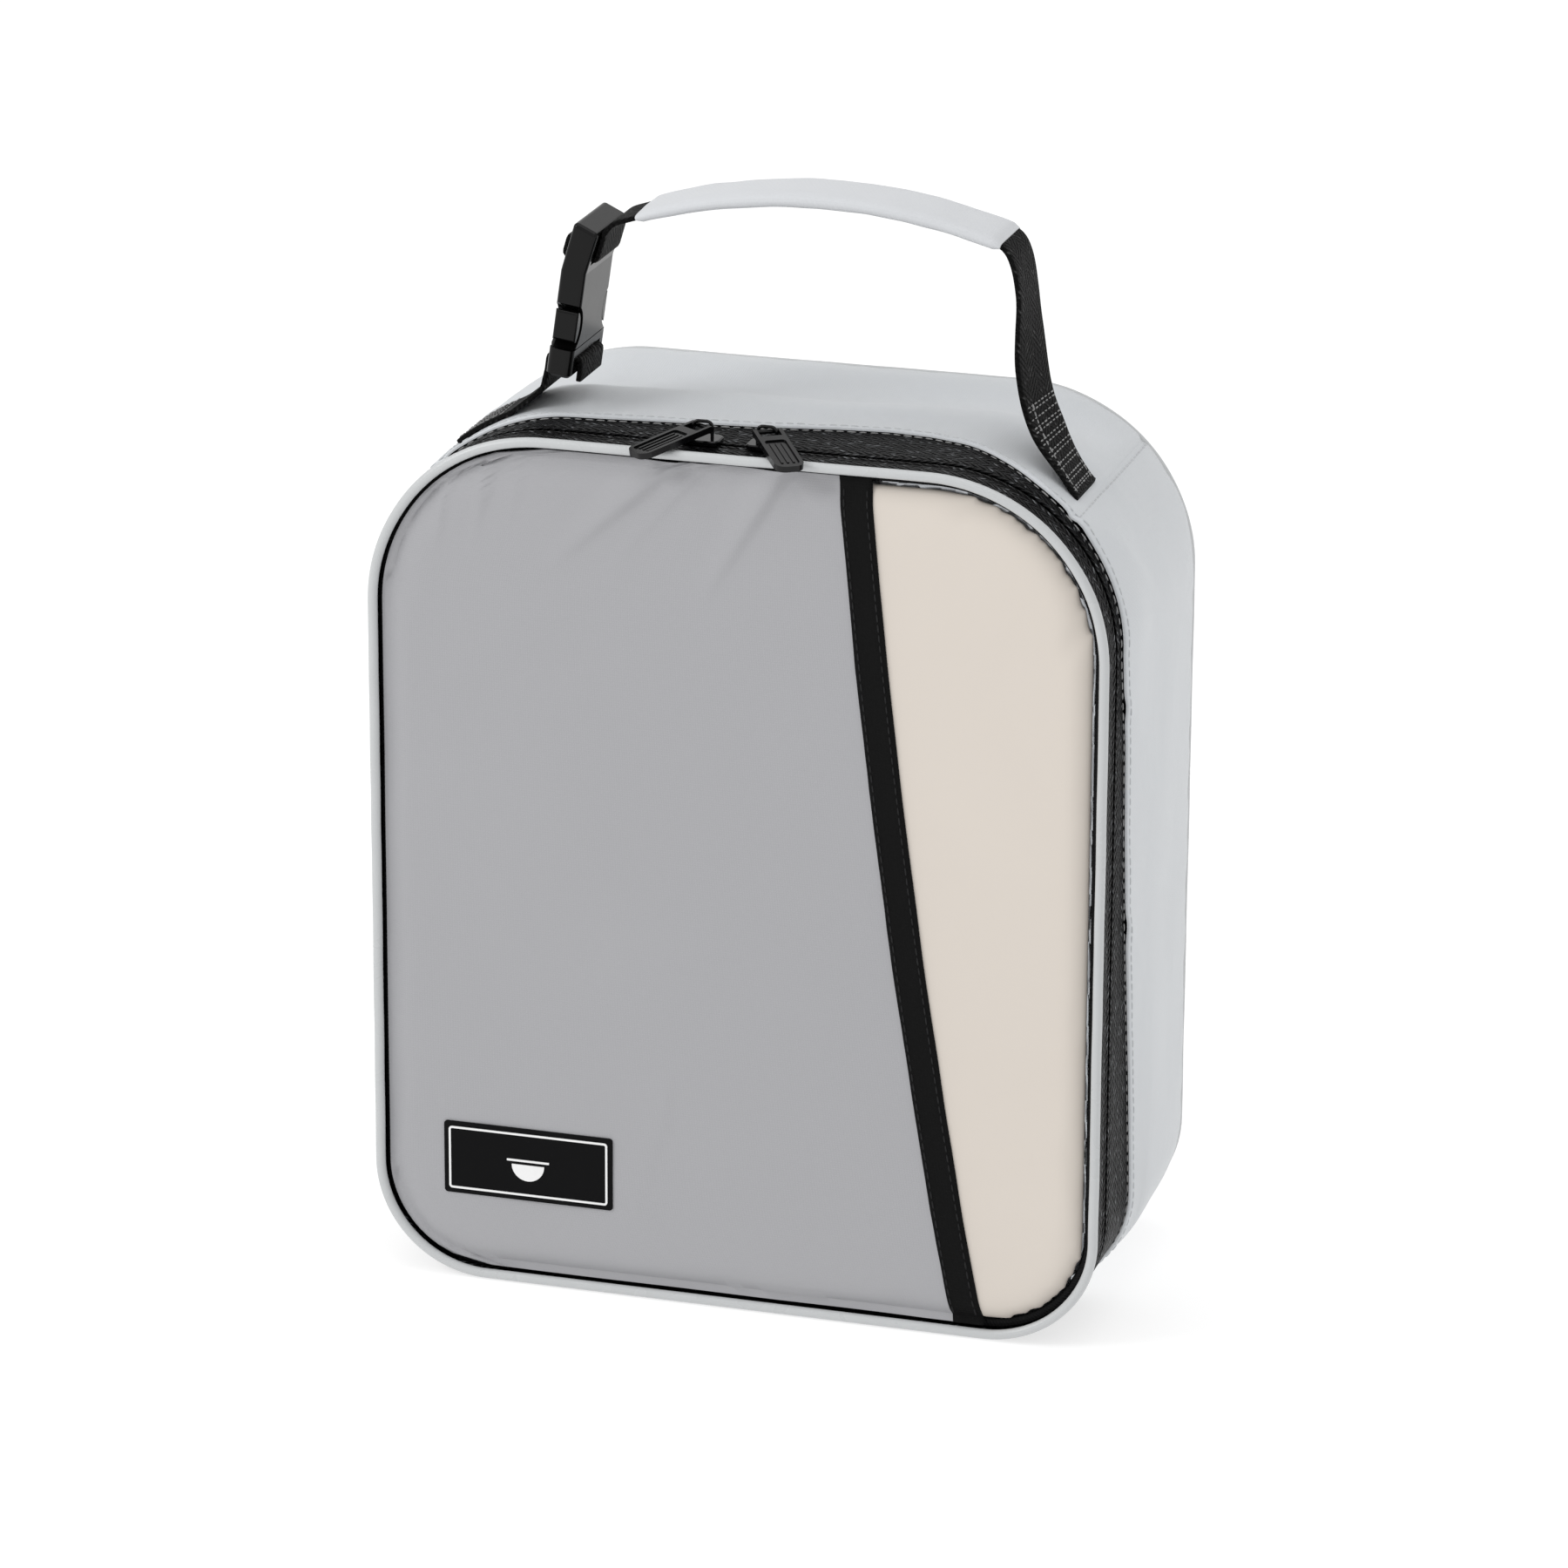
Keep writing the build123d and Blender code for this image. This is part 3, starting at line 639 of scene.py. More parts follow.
def cup(name, rim_y, back_y, inset, thick, ripple):
    """An open tub: a wall round the outline and a flat end, with a thickness."""
    s = whole_round(4)
    points, out = outline_at(s)
    middle = np.array([0, HEIGHT / 2])
    rows = []
    for layer, gap in ((0, 0.0), (1, thick)):
        ring_rows = []
        for y in spaced(rim_y, back_y - gap, 4):
            ring_rows.append((inset + gap, y, 1.0))
        for share in np.linspace(0.97, 0.02, 26):
            ring_rows.append((inset + gap, back_y - gap, share))
        rows.append(ring_rows)
    profile = rows[0][::-1] + rows[1]
    grid_points = np.zeros((len(s), len(profile), 3))
    for i, (p, n) in enumerate(zip(points, out)):
        for j, (d, y, share) in enumerate(profile):
            edge = p - n * d
            x, z = middle + (edge - middle) * share
            lift = ripple * wobble(x, y * 1.5, z, 22)
            flat_end = share < 1
            grid_points[i, j] = (x - (0 if flat_end else n[0] * lift), y - (lift if flat_end else 0),
                                 z - (0 if flat_end else n[1] * lift))
    flat = np.array([(d + (1 - share) * 110, y) for d, y, share in profile])
    u = np.append(s, ROUND)
    return closed_round(name, grid_points, u, flat)


tub_box = edges("lining_tub")
tub = cup("foil_tub", tub_box[0][1], tub_box[1][1], 5.0, 0.8, 0.5)
put(tub, "shell", "foil_lining", "lining_tub")

# %% [markdown]
# The two pipings are cords wrapped in coated cloth. A round section carried round the outline is enough;
# a little unevenness keeps the highlight from looking extruded.

# %% Piping


CORD = PIPING - 1.05     # the cord itself; the rest of the frame's bead is the cloth's turned edge


def piping(name, y):
    turns = np.linspace(0, 2 * math.pi, 20, endpoint=False)
    section = [(CORD - CORD * math.cos(a), y + CORD * math.sin(a), 1.0) for a in turns]

    def uneven(x, z, up, s, where):
        return 0.14 * wobble(s, where, 7.0, 17) * (1 - smooth(-up, 0.6, 0.95))
    return carry(name, whole_round(2.2), section, uneven, loop=True)


put(piping("front_piping_cord", FRONT + CORD), "door", "piping", "front_piping")
put(piping("back_piping_cord", BACK - CORD), "shell", "piping", "back_piping")

# %% [markdown]
# ## The padded panels
# The door and the back are foam pads under cloth. Each starts as a slightly crowned closed form,
# is filled by a short cloth simulation with pressure, and its moves are capped so that it stays in its place.

# %% Padded panels


def pad_form(name, face_y, inner_y, inset, crown, edge_drop):
    """A closed pad: its outer face at face_y, falling away by edge_drop at the edge."""
    s = whole_round(5)
    points, out = outline_at(s)
    middle = np.array([0, HEIGHT / 2])
    way = -1 if face_y < inner_y else 1
    profile = [(share, inner_y) for share in np.linspace(0.03, 0.985, 16)]
    profile += [(1.0, inner_y + way * 0.6)]
    for share in 1 - np.linspace(0, 0.985, 40) ** 1.6:
        fall = edge_drop * (0.35 * share ** 9 + 0.65 * share ** 40) + crown * share ** 2
        profile.append((share, face_y - way * fall))
    rows = np.zeros((len(s), len(profile), 3))
    for i, (p, n) in enumerate(zip(points, out)):
        edge = p - n * inset
        for j, (share, y) in enumerate(profile):
            x, z = middle + (edge - middle) * share
            rows[i, j] = (x, y, z)
    flat = np.array([(share * 100, y) for share, y in profile])
    return closed_round(name, rows, np.append(s, ROUND), flat)


def applied(obj, mesh_name):
    """obj with its modifiers made real."""
    bpy.context.view_layer.update()
    seen = obj.evaluated_get(bpy.context.evaluated_depsgraph_get())
    mesh = bpy.data.meshes.new_from_object(seen)
    mesh.name = mesh_name
    obj.modifiers.clear()
    obj.data = mesh
    return obj


def coordinates(mesh):
    flat = np.zeros(len(mesh.vertices) * 3)
    mesh.vertices.foreach_get("co", flat)
    return flat.reshape(-1, 3)


VOXEL = 0.0024          # fine enough for the crown, coarse enough for a light mesh
PRESSURE = 4.0
FILL_FRAMES = 20


def fill(obj, cap, low_y, high_y):
    """Inflates a pad a little with Cloth, then caps each point's move and its depth."""
    remesh = obj.modifiers.new("remesh", "REMESH")
    remesh.mode = "VOXEL"
    remesh.voxel_size = VOXEL
    applied(obj, obj.name)
    rest = coordinates(obj.data)
    cloth_mod = obj.modifiers.new("fill", "CLOTH")
    settings = cloth_mod.settings
    settings.quality = 5
    settings.mass = 0.2
    settings.use_pressure = True
    settings.uniform_pressure_force = PRESSURE
    settings.effector_weights.gravity = 0.0
    for number in range(1, FILL_FRAMES + 1):
        bpy.context.scene.frame_set(number)
    seen = obj.evaluated_get(bpy.context.evaluated_depsgraph_get())
    moved = coordinates(seen.to_mesh())
    seen.to_mesh_clear()
    move = moved - rest
    size = np.linalg.norm(move, axis=1, keepdims=True)
    rest = rest + move * np.minimum(1.0, cap * MM / np.maximum(size, 1e-9))
    obj.modifiers.clear()
    bpy.context.scene.frame_set(1)
    rest[:, 1] = np.clip(rest[:, 1], low_y * MM, high_y * MM)
    obj.data.vertices.foreach_set("co", rest.ravel())
    relax = obj.modifiers.new("relax", "SMOOTH")
    relax.iterations = 2
    finer = obj.modifiers.new("finer", "SUBSURF")
    finer.levels = finer.render_levels = 1
    applied(obj, obj.name)
    obj.data.shade_smooth()
    return obj


door_lining = edges("front_lining")
panel_box = edges("front_panel")
pad_front = fill(pad_form("door_pad", panel_box[0][1] - 0.4, door_lining[0][1] - 0.1, 3.1, 0.4, 2.6),
                 1.2, panel_box[0][1] - 0.5, door_lining[0][1] - 0.05)
put(pad_front, "door", "panel_cloth", "front_panel", "front_foam")
back_box = edges("back_panel")
pad_back = fill(pad_form("back_pad", back_box[1][1] + 0.9, edges("back_foam")[0][1] + 0.1, 2.7, 0.9, 2.8),
                1.2, edges("back_foam")[0][1] + 0.05, back_box[1][1] + 1.0)
put(pad_back, "shell", "body_cloth", "back_panel", "back_foam", skin="body_cloth")

# %% [markdown]
# The pocket is a sheet that lies on the padded door and is caught in the piping. To lay it down,
# rays find the pad's surface, and the sheet follows it with its own slight folds at the top.

# %% The pad's surface under the pocket
bpy.context.view_layer.update()
tree_front = BVHTree.FromPolygons([v.co for v in pad_front.data.vertices],
                                  [p.vertices for p in pad_front.data.polygons])


def pad_y(x, z):
    """The y of the padded door's outer face, in millimetres."""
    hit = tree_front.ray_cast(Vector((x * MM, -0.1, z * MM)), Vector((0, 1, 0)))
    return hit[0].y * 1000 if hit[0] else panel_box[0][1] + 1.5


POCKET_TOP, POCKET_BOTTOM, POCKET_BOW = 35.0, 72.0, 3.5
BOUND = 9.4


def pocket_x(z):
    """The middle of the pocket's bound edge at a height: an arc of a very large circle."""
    t = z / HEIGHT
    return POCKET_BOTTOM + (POCKET_TOP - POCKET_BOTTOM) * t - POCKET_BOW * 4 * t * (1 - t)


def left_side(z, inset):
    """The outline's left side at a height, drawn in by inset."""
    half, low, top_r = WIDTH / 2 - inset, BOTTOM_ROUND - inset, TOP_ROUND - inset
    if z < BOTTOM_ROUND:
        reach = BOTTOM_ROUND - z
        return -(half - low + math.sqrt(max(0, low ** 2 - reach ** 2)))
    if z > HEIGHT - TOP_ROUND:
        reach = z - (HEIGHT - TOP_ROUND)
        return -(half - top_r + math.sqrt(max(0, top_r ** 2 - reach ** 2)))
    return -half


FOLDS = [  # from (x, z) to (x, z), height, half width
    (-17, 257, -55, 222, 2.1, 6.0),
    (15, 257, -9, 216, 2.0, 6.0),
    (-8, 257, -36, 224, 0.8, 4.0),
    (-84, 250, -89, 222, 1.0, 2.6),
    (-72, 253, -77, 226, 0.9, 2.6),
    (-62, 255, -66, 234, 0.6, 2.0),
    (-20, 60, -32, 18, 0.35, 6.0),
]


def pocket_fold(x, z):
    """How far the pocket's cloth stands off the door: folds that are steep on one side."""
    total = 0.0
    for *ends, height, half in FOLDS:
        t, gap, side = from_segment(x, z, *ends)
        steep = 0.25 if side < 0 else 1.0
        total += height * math.exp(-(gap / (half * steep * (1.2 - 0.7 * t))) ** 2) * (1 - t) ** 0.8
    return total + 0.35 * wobble(x, z, 9, 30)


def laid_on_door(name, left, right, z0, z1, columns, thick, lift, fold=None):
    """A sheet on the door between two edges that depend on the height."""
    zs = spaced(z0, z1, 2.2)
    share = np.linspace(0, 1, columns)
    rows = np.zeros((len(zs), 2 * columns, 3))
    for i, z in enumerate(zs):
        a, b = left(z), right(z)
        for j, t in enumerate(share):
            x = a + (b - a) * t
            y = pad_y(x, z) - lift - (fold(x, z) if fold else 0)
            soft = 0.3 if j in (0, columns - 1) else 0.0
            rows[i, j] = (x, y - thick + soft, z)
            rows[i, 2 * columns - 1 - j] = (x, y, z)
    u = np.append(zs, zs[-1] + 2.2)
    across = np.linspace(0, right(zs[0]) - left(zs[0]), columns)
    v = np.concatenate([across, across[::-1] + 0.5, [0]])
    return grid(name, rows, (u, v))


pocket = laid_on_door("pocket_sheet", lambda z: left_side(z, 3.8), lambda z: pocket_x(z) - BOUND / 2 + 1.5,
                      3.7, HEIGHT - 3.7, 110, 0.55, 0.1, pocket_fold)
put(pocket, "door", "pocket_cloth", "pocket_panel")


def binding_over_edge():
    """The folded tape that binds the pocket's edge."""
    zs = spaced(3.6, HEIGHT - 3.6, 2.2)
    half = BOUND / 2
    section = [(-half, 0.0), (-half - 0.15, 0.55), (-half + 0.35, 1.05), (-half + 1.6, 1.25), (-1.5, 1.12),
               (0, 1.08), (1.5, 1.12), (half - 1.6, 1.25), (half - 0.35, 1.05), (half + 0.15, 0.55), (half, 0.0)]
    rows = np.zeros((len(zs), len(section), 3))
    for i, z in enumerate(zs):
        for j, (dx, dy) in enumerate(section):
            x = pocket_x(z) + dx + 0.25 * wobble(z, dx * 0.2, 2, 25)
            base = pad_y(pocket_x(z), z)
            rows[i, j] = (x, base + 0.2 - dy * 1.1 - 0.08 * wobble(z, dx, 5, 6), z)
    flat = np.array(section)
    return grid("pocket_edge_binding", rows, (np.append(zs, zs[-1] + 2.2), lengths(flat, True)))


put(binding_over_edge(), "door", "black_binding", "pocket_binding")

# %% [markdown]
# Inside, the door has its own foil and a bound edge, as the opening has.

# %% Inside of the door, bindings and tapes


def lining_panel():
    s = whole_round(4)
    points, out = outline_at(s)
    middle = np.array([0, HEIGHT / 2])
    y0, y1 = door_lining[0][1], door_lining[1][1]
    profile = [(share, y0) for share in np.linspace(0.02, 0.99, 10)]
    profile += [(1.0, (y0 + y1) / 2)] + [(share, y1) for share in np.linspace(0.995, 0.02, 34)]
    rows = np.zeros((len(s), len(profile), 3))
    for i, (p, n) in enumerate(zip(points, out)):
        edge = p - n * 5.0
        for j, (share, y) in enumerate(profile):
            x, z = middle + (edge - middle) * share
            rows[i, j] = (x, y + (0.4 * wobble(x, 1, z, 20) * (1 - share ** 8) if y == y1 else 0), z)
    flat = np.array([(share * 100, y) for share, y in profile])
    return closed_round("door_foil", rows, np.append(s, ROUND), flat)


put(lining_panel(), "door", "foil_lining", "front_lining")


def rolled_section(outer, inner, y0, y1):
    """A bound edge: a flat tape with a full round front and back."""
    mid, half = (outer + inner) / 2, (inner - outer) / 2
    reach = (y1 - y0) / 2 - 0.2
    turns = np.linspace(0, 2 * math.pi, 22, endpoint=False)
    centre = (y0 + y1) / 2
    return [(mid + half * math.copysign(abs(math.sin(a)) ** 0.6, math.sin(a)),
             centre + (reach + 0.2) * math.copysign(abs(math.cos(a)) ** 0.6, math.cos(a)), 1.0) for a in turns]


box = edges("opening_binding")
opening = carry("opening_bound_edge", whole_round(2.5),
                rolled_section(2.05, 6.1, box[0][1], box[1][1]), None, True)
put(opening, "shell", "lining_binding", "opening_binding")
box = edges("door_binding")
door_edge = carry("door_bound_edge", whole_round(2.5),
                  rolled_section(2.05, 5.0, box[0][1], box[1][1]), None, True)
put(door_edge, "door", "lining_binding", "door_binding")

zip_walk = spaced(ZIP_END, ROUND - ZIP_END, 2.0)


def tape_section(groove_y, far_y):
    """A zip tape: a smooth fold beside the groove, then flat woven tape."""
    way = 1 if far_y > groove_y else -1
    reach = abs(far_y - groove_y)
    outside = [(1.5, 0.0), (1.12, 0.1), (1.0, 0.5), (1.0, 1.3), (1.15, 1.9), (1.22, 2.3), (1.12, 3.0)]
    outside += [(1.08, d) for d in spaced(3.8, reach - 0.4, 1.2)] + [(1.4, reach)]
    inside = [(1.9, reach), (1.95, reach * 0.5), (1.95, 0.5)]
    return [(inset, groove_y + way * d, 0.0) for inset, d in outside + inside]


box = edges("zip_tape_door")
put(carry("door_zip_tape", zip_walk, tape_section(box[1][1], box[0][1] - 2)),
    "door", "zip_tape", "zip_tape_door")
box = edges("zip_tape_body")
put(carry("body_zip_tape", zip_walk, tape_section(box[0][1], box[1][1] + 9.5)),
    "shell", "zip_tape", "zip_tape_body")

# %% Cloth hinge and end tabs
box = edges("hinge_strip")
hinge_walk = spaced(ROUND - ZIP_END + 0.05, ROUND + ZIP_END - 0.05, 3)
hinge = carry("hinge_cloth", hinge_walk, wall_section(1.0, 1.95, box[0][1] - 2, box[1][1], 1.5, 0, 0, 0.2))
put(hinge, ("shell", "door", (0, -0.0300, 0.0015), (0, -0.0465, 0.0015)), "black_binding", "hinge_strip")
box = edges("zip_end_tabs")
tab = wall_section(2.0, 3.4, box[0][1], box[1][1], 2, 0, 0, 0.4)
tabs = [carry("tab", spaced(a, a + 4.8, 1.2), tab) for a in (ZIP_END - 4.9, ROUND - ZIP_END + 0.1)]
put(merge("zip_end_cloths", tabs), "shell", "black_binding", "zip_end_tabs")

# %% [markdown]
# ## The handle
# Two lengths of webbing leave the corners, bend where the handle folds, and meet in the padded grip and
# the buckle. Each is a flat ribbon along a rounded line, wider than thick, with woven edges.

# %% Straps


def rounded(points, radii, step=1.0):
    """A line through points with each corner replaced by an arc, sampled every step."""
    pts = [np.array(p, float) for p in points]
    out = [pts[0]]
    for before, at, after, radius in zip(pts, pts[1:], pts[2:], radii):
        a, b = before - at, after - at
        a, b = a / np.linalg.norm(a), b / np.linalg.norm(b)
        turn = math.acos(max(-1, min(1, float(-a @ b))))
        cut = radius * math.tan(turn / 2)
        cut = min(cut, 0.49 * np.linalg.norm(before - at), 0.49 * np.linalg.norm(after - at))
        start, end = at + a * cut, at + b * cut
        steps = max(3, int(radius * turn / step) + 2)
        for t in np.linspace(0, 1, steps):
            out.append((1 - t) ** 2 * start + 2 * t * (1 - t) * at + t * t * end)
    out.append(pts[-1])
    dense = [out[0]]
    for p in out[1:]:
        gap = np.linalg.norm(p - dense[-1])
        if gap < 0.15:
            continue
        first, count = dense[-1], max(1, int(gap / step))
        dense += [first + (p - first) * (k / count) for k in range(1, count + 1)]
    return np.array(dense)


def frames_along(line):
    """Unit normals of a flat line, to its left."""
    way = np.gradient(line, axis=0)
    way /= np.linalg.norm(way, axis=1, keepdims=True)
    return np.stack([-way[:, 1], way[:, 0]], 1)


def ribbon(name, line, thick, wide, centre_y, twist=None):
    """A flat strap along a line in X and Z, its width along Y. twist turns its front edge to its left."""
    side = frames_along(line)
    half, h = wide / 2, thick / 2
    across = [-half, -half + 0.3, -half + 1.4, -half / 2, 0, half / 2, half - 1.4, half - 0.3, half]
    lift = [0.35, 0.85, 1.0, 0.96, 0.96, 0.96, 1.0, 0.85, 0.35]
    section = [(a, h * l) for a, l in zip(across, lift)]\
        + [(a, -h * l) for a, l in zip(across[::-1], lift[::-1])]
    rows = np.zeros((len(line), len(section), 3))
    for i, (p, n) in enumerate(zip(line, side)):
        for j, (a, b) in enumerate(section):
            if twist:
                b -= twist(*p) * a / half
            rows[i, j] = (p[0] + n[0] * b, centre_y + a, p[1] + n[1] * b)
    return grid(name, rows, (lengths(line), lengths(np.array(section), True)))


WEB, WEB_WIDE = 1.6, 20.0
CORNER_X, CORNER_Z = WIDTH / 2 - TOP_ROUND, HEIGHT - TOP_ROUND
BUCKLE_LEAN = math.radians(8.0)
BUCKLE_X, BUCKLE_Z = -60.3, HEIGHT + 11.2
HALF_THICK = 3.75
HIGH_SLOT, LOW_SLOT, MALE_SLOT = 40.7, 34.7, 4.6


def corner_arc(side, low, high, radius):
    """Points round a top corner, from a low angle to a high one."""
    angles = np.radians(spaced(low, high, 1.5))
    return [(side * (CORNER_X + radius * math.cos(a)), CORNER_Z + radius * math.sin(a)) for a in angles]


def buckle_point(across, along):
    """A point of the buckle's edge view."""
    x = BUCKLE_X + across * math.cos(BUCKLE_LEAN) + along * math.sin(BUCKLE_LEAN)
    return x, BUCKLE_Z - across * math.sin(BUCKLE_LEAN) + along * math.cos(BUCKLE_LEAN)


def female_lean(along):
    return 2.2 * max(0, along - 31.0) / 15.0


GRIP_LEFT, GRIP_RIGHT = (-38.0, HEIGHT + 58.5), (69.0, HEIGHT + 58.5)
GRIP_TOP = HEIGHT + 67.2


def grip_arc():
    """The grip's middle line, from right to left."""
    chord, sag = GRIP_RIGHT[0] - GRIP_LEFT[0], GRIP_TOP - GRIP_RIGHT[1]
    radius = (chord ** 2 / 4 + sag ** 2) / (2 * sag)
    centre = ((GRIP_LEFT[0] + GRIP_RIGHT[0]) / 2, GRIP_TOP - radius)
    reach = math.asin(chord / 2 / radius)
    turns = np.linspace(reach, -reach, 60)
    return [(centre[0] + radius * math.sin(a), centre[1] + radius * math.cos(a)) for a in turns]


def strap_twist(x, z):
    """The right strap's front edge leans in between the corner and the middle of its rise."""
    return (1.5 * smooth(z, HEIGHT - 8, HEIGHT + 6) * (1 - smooth(z, HEIGHT + 22, HEIGHT + 46))
            if x > 60 else 0.0)


def smooth_line(points, step=1.0):
    """A Catmull-Rom line through points."""
    pts = np.array([2 * np.array(points[0]) - points[1], *points, 2 * np.array(points[-1]) - points[-2]], float)
    out = []
    for a, b, c, d in zip(pts, pts[1:], pts[2:], pts[3:]):
        count = max(2, int(np.linalg.norm(c - b) / step))
        for t in np.arange(count) / count:
            out.append(0.5 * (2 * b + (c - a) * t + (2 * a - 5 * b + 4 * c - d) * t ** 2
                              + (3 * b - a - 3 * c + d) * t ** 3))
    out.append(pts[-2])
    return np.array(out)


start = corner_arc(1, 48.5, 51, TOP_ROUND + WEB / 2)
rise = [(83.0, HEIGHT + 0.6), (78.3, HEIGHT + 11), (76.0, HEIGHT + 22), (75.0, HEIGHT + 33),
        (74.3, HEIGHT + 44), (72.4, HEIGHT + 53.5)]
arc = grip_arc()
outer = -HALF_THICK - WEB / 2 - 0.3
top_edge = 43.6
down = rounded([arc[-1], (GRIP_LEFT[0] - 7, GRIP_LEFT[1] - 2.3),
                buckle_point(female_lean(top_edge) - outer, top_edge),
                buckle_point(female_lean(LOW_SLOT) - outer, LOW_SLOT),
                buckle_point(outer + female_lean(LOW_SLOT), LOW_SLOT),
                buckle_point(outer + female_lean(HIGH_SLOT), HIGH_SLOT),
                buckle_point(HALF_THICK - WEB + female_lean(HIGH_SLOT), HIGH_SLOT)], [6, 6, 1.3, 1.3, 1.3], 0.8)
upper = smooth_line([start[0], start[-1]] + rise + arc[::4], 1.2)
carry_line = np.concatenate([upper, down[1:]])
fold = ("shell", "handle", (0, HANDLE_Y * MM, (HEIGHT + 0.5) * MM), (0, HANDLE_Y * MM, (HEIGHT + 14) * MM))
strap = ribbon("carry_strap", carry_line, WEB, WEB_WIDE, HANDLE_Y, strap_twist)
put(strap, fold, "black_webbing", "handle_webbing", "handle_anchor_right")

outer = HALF_THICK + WEB / 2 + 0.3
under = [buckle_point(-outer, 0), buckle_point(-outer, MALE_SLOT),
         buckle_point(outer, MALE_SLOT), buckle_point(outer, -WEB)]
left_arc = corner_arc(-1, 49, 62, TOP_ROUND + WEB / 2)
rise_left = (BUCKLE_X - 6.3, HEIGHT + 5.6)
low_line = rounded(left_arc + [(left_arc[-1][0] + 6.2, left_arc[-1][1] + 3.3), rise_left, *under],
                   [30] * (len(left_arc) - 1) + [12, 5, 3, 1.3, 1.3], 0.8)
put(ribbon("buckle_strap", low_line, WEB, WEB_WIDE, HANDLE_Y), fold,
    "black_webbing", "lower_webbing", "handle_anchor_left")

# %% [markdown]
# The grip is a strip of padding and a sleeve of the bag's own cloth, sewn round the webbing.
# It is a tube whose section is a flattened oval, a little uneven, closing to the webbing at its ends.

# %% Grip


def sleeve(name, line, half_wide, half_thick, puff, shrink):
    side = frames_along(line)
    turns = np.linspace(0, 2 * math.pi, 28, endpoint=False)
    rows = []
    run = lengths(line)
    for i, (p, n) in enumerate(zip(line, side)):
        t = run[i] / run[-2]
        end = min(1.0, min(t, 1 - t) * run[-2] / 1.2)
        size = shrink + (1 - shrink) * math.sqrt(max(0.0, 1 - (1 - end) ** 2))
        ring = []
        for a in turns:
            across = half_wide * math.copysign(abs(math.cos(a)) ** 0.55, math.cos(a))
            up = (half_thick + puff * math.sin(math.pi * t) ** 0.5) * math.copysign(
                abs(math.sin(a)) ** 0.7, math.sin(a))
            up *= 1 + 0.16 * wobble(run[i], across, math.sin(a) * 4, 9)
            ring.append((p[0] + n[0] * up * size, HANDLE_Y + across * (0.9 + 0.1 * size),
                         p[1] + n[1] * up * size))
        rows.append(ring)
    turn_points = np.array([(half_wide * math.cos(a), half_thick * math.sin(a)) for a in turns])
    return grid(name, np.array(rows), (run, lengths(turn_points, True)))


arc_line = np.array(grip_arc())
put(sleeve("grip_cover", arc_line, 11.6, 2.0, 0.5, 0.55), "handle", "grip_cloth", "grip_sleeve")
inner_line = arc_line[2:-2]
core = sleeve("grip_core", inner_line, 10.6, 1.35, 0.1, 0.7)
put(core, "handle", "foam", "grip_padding")

# %% [markdown]
# ## What repeats: stitches and the zip's coil
# Both are one small shape set out along a line, so one Geometry Nodes tree makes them all. The tree resamples
# the line, turns a copy of the small shape along it at each point, varies its size a little, and makes the
# copies real. The result is turned into a plain mesh before it is put on its body.

# %% A tree that sets pieces out along a line


def along_line_tree():
    tree = bpy.data.node_groups.new("set out along a line", "GeometryNodeTree")
    for label, kind, value in (
            ("Line", "NodeSocketGeometry", None), ("Piece", "NodeSocketObject", None),
            ("Finish", "NodeSocketMaterial", None),
            ("Spacing", FLOAT, 0.003), ("Uneven", FLOAT, 0.08),
            ("Seed", "NodeSocketInt", 7), ("Across", VECTOR, (0, 1, 0))):
        socket = tree.interface.new_socket(label, in_out="INPUT", socket_type=kind)
        if value is not None:
            socket.default_value = value
    tree.interface.new_socket("Made", in_out="OUTPUT", socket_type="NodeSocketGeometry")
    new, join = tree.nodes.new, tree.links.new
    given, out = new("NodeGroupInput").outputs, new("NodeGroupOutput").inputs
    curve = new("GeometryNodeMeshToCurve")
    even = new("GeometryNodeResampleCurve")
    even.mode = "LENGTH"
    tangent = new("GeometryNodeInputTangent")
    turn = new("FunctionNodeAxesToRotation")
    turn.primary_axis, turn.secondary_axis = "X", "Y"
    info = new("GeometryNodeObjectInfo")
    chance = new("FunctionNodeRandomValue")
    low, high = new("ShaderNodeMath"), new("ShaderNodeMath")
    low.operation, high.operation = "SUBTRACT", "ADD"
    low.inputs[0].default_value = high.inputs[0].default_value = 1.0
    place = new("GeometryNodeInstanceOnPoints")
    real = new("GeometryNodeRealizeInstances")
    paint = new("GeometryNodeSetMaterial")
    join(given["Line"], curve.inputs["Mesh"])
    join(curve.outputs[0], even.inputs["Curve"])
    join(given["Spacing"], even.inputs["Length"])
    join(even.outputs[0], place.inputs["Points"])
    join(tangent.outputs[0], turn.inputs[0])
    join(given["Across"], turn.inputs[1])
    join(turn.outputs[0], place.inputs["Rotation"])
    join(given["Piece"], info.inputs["Object"])
    join(info.outputs["Geometry"], place.inputs["Instance"])
    join(given["Uneven"], low.inputs[1])
    join(given["Uneven"], high.inputs[1])
    join(low.outputs[0], chance.inputs["Min"])
    join(high.outputs[0], chance.inputs[3])
    join(given["Seed"], chance.inputs["Seed"])
    join(chance.outputs[1], place.inputs["Scale"])
    join(place.outputs[0], real.inputs[0])
    join(real.outputs[0], paint.inputs["Geometry"])
    join(given["Finish"], paint.inputs["Material"])
    join(paint.outputs[0], out["Made"])
    return tree


SET_OUT = along_line_tree()


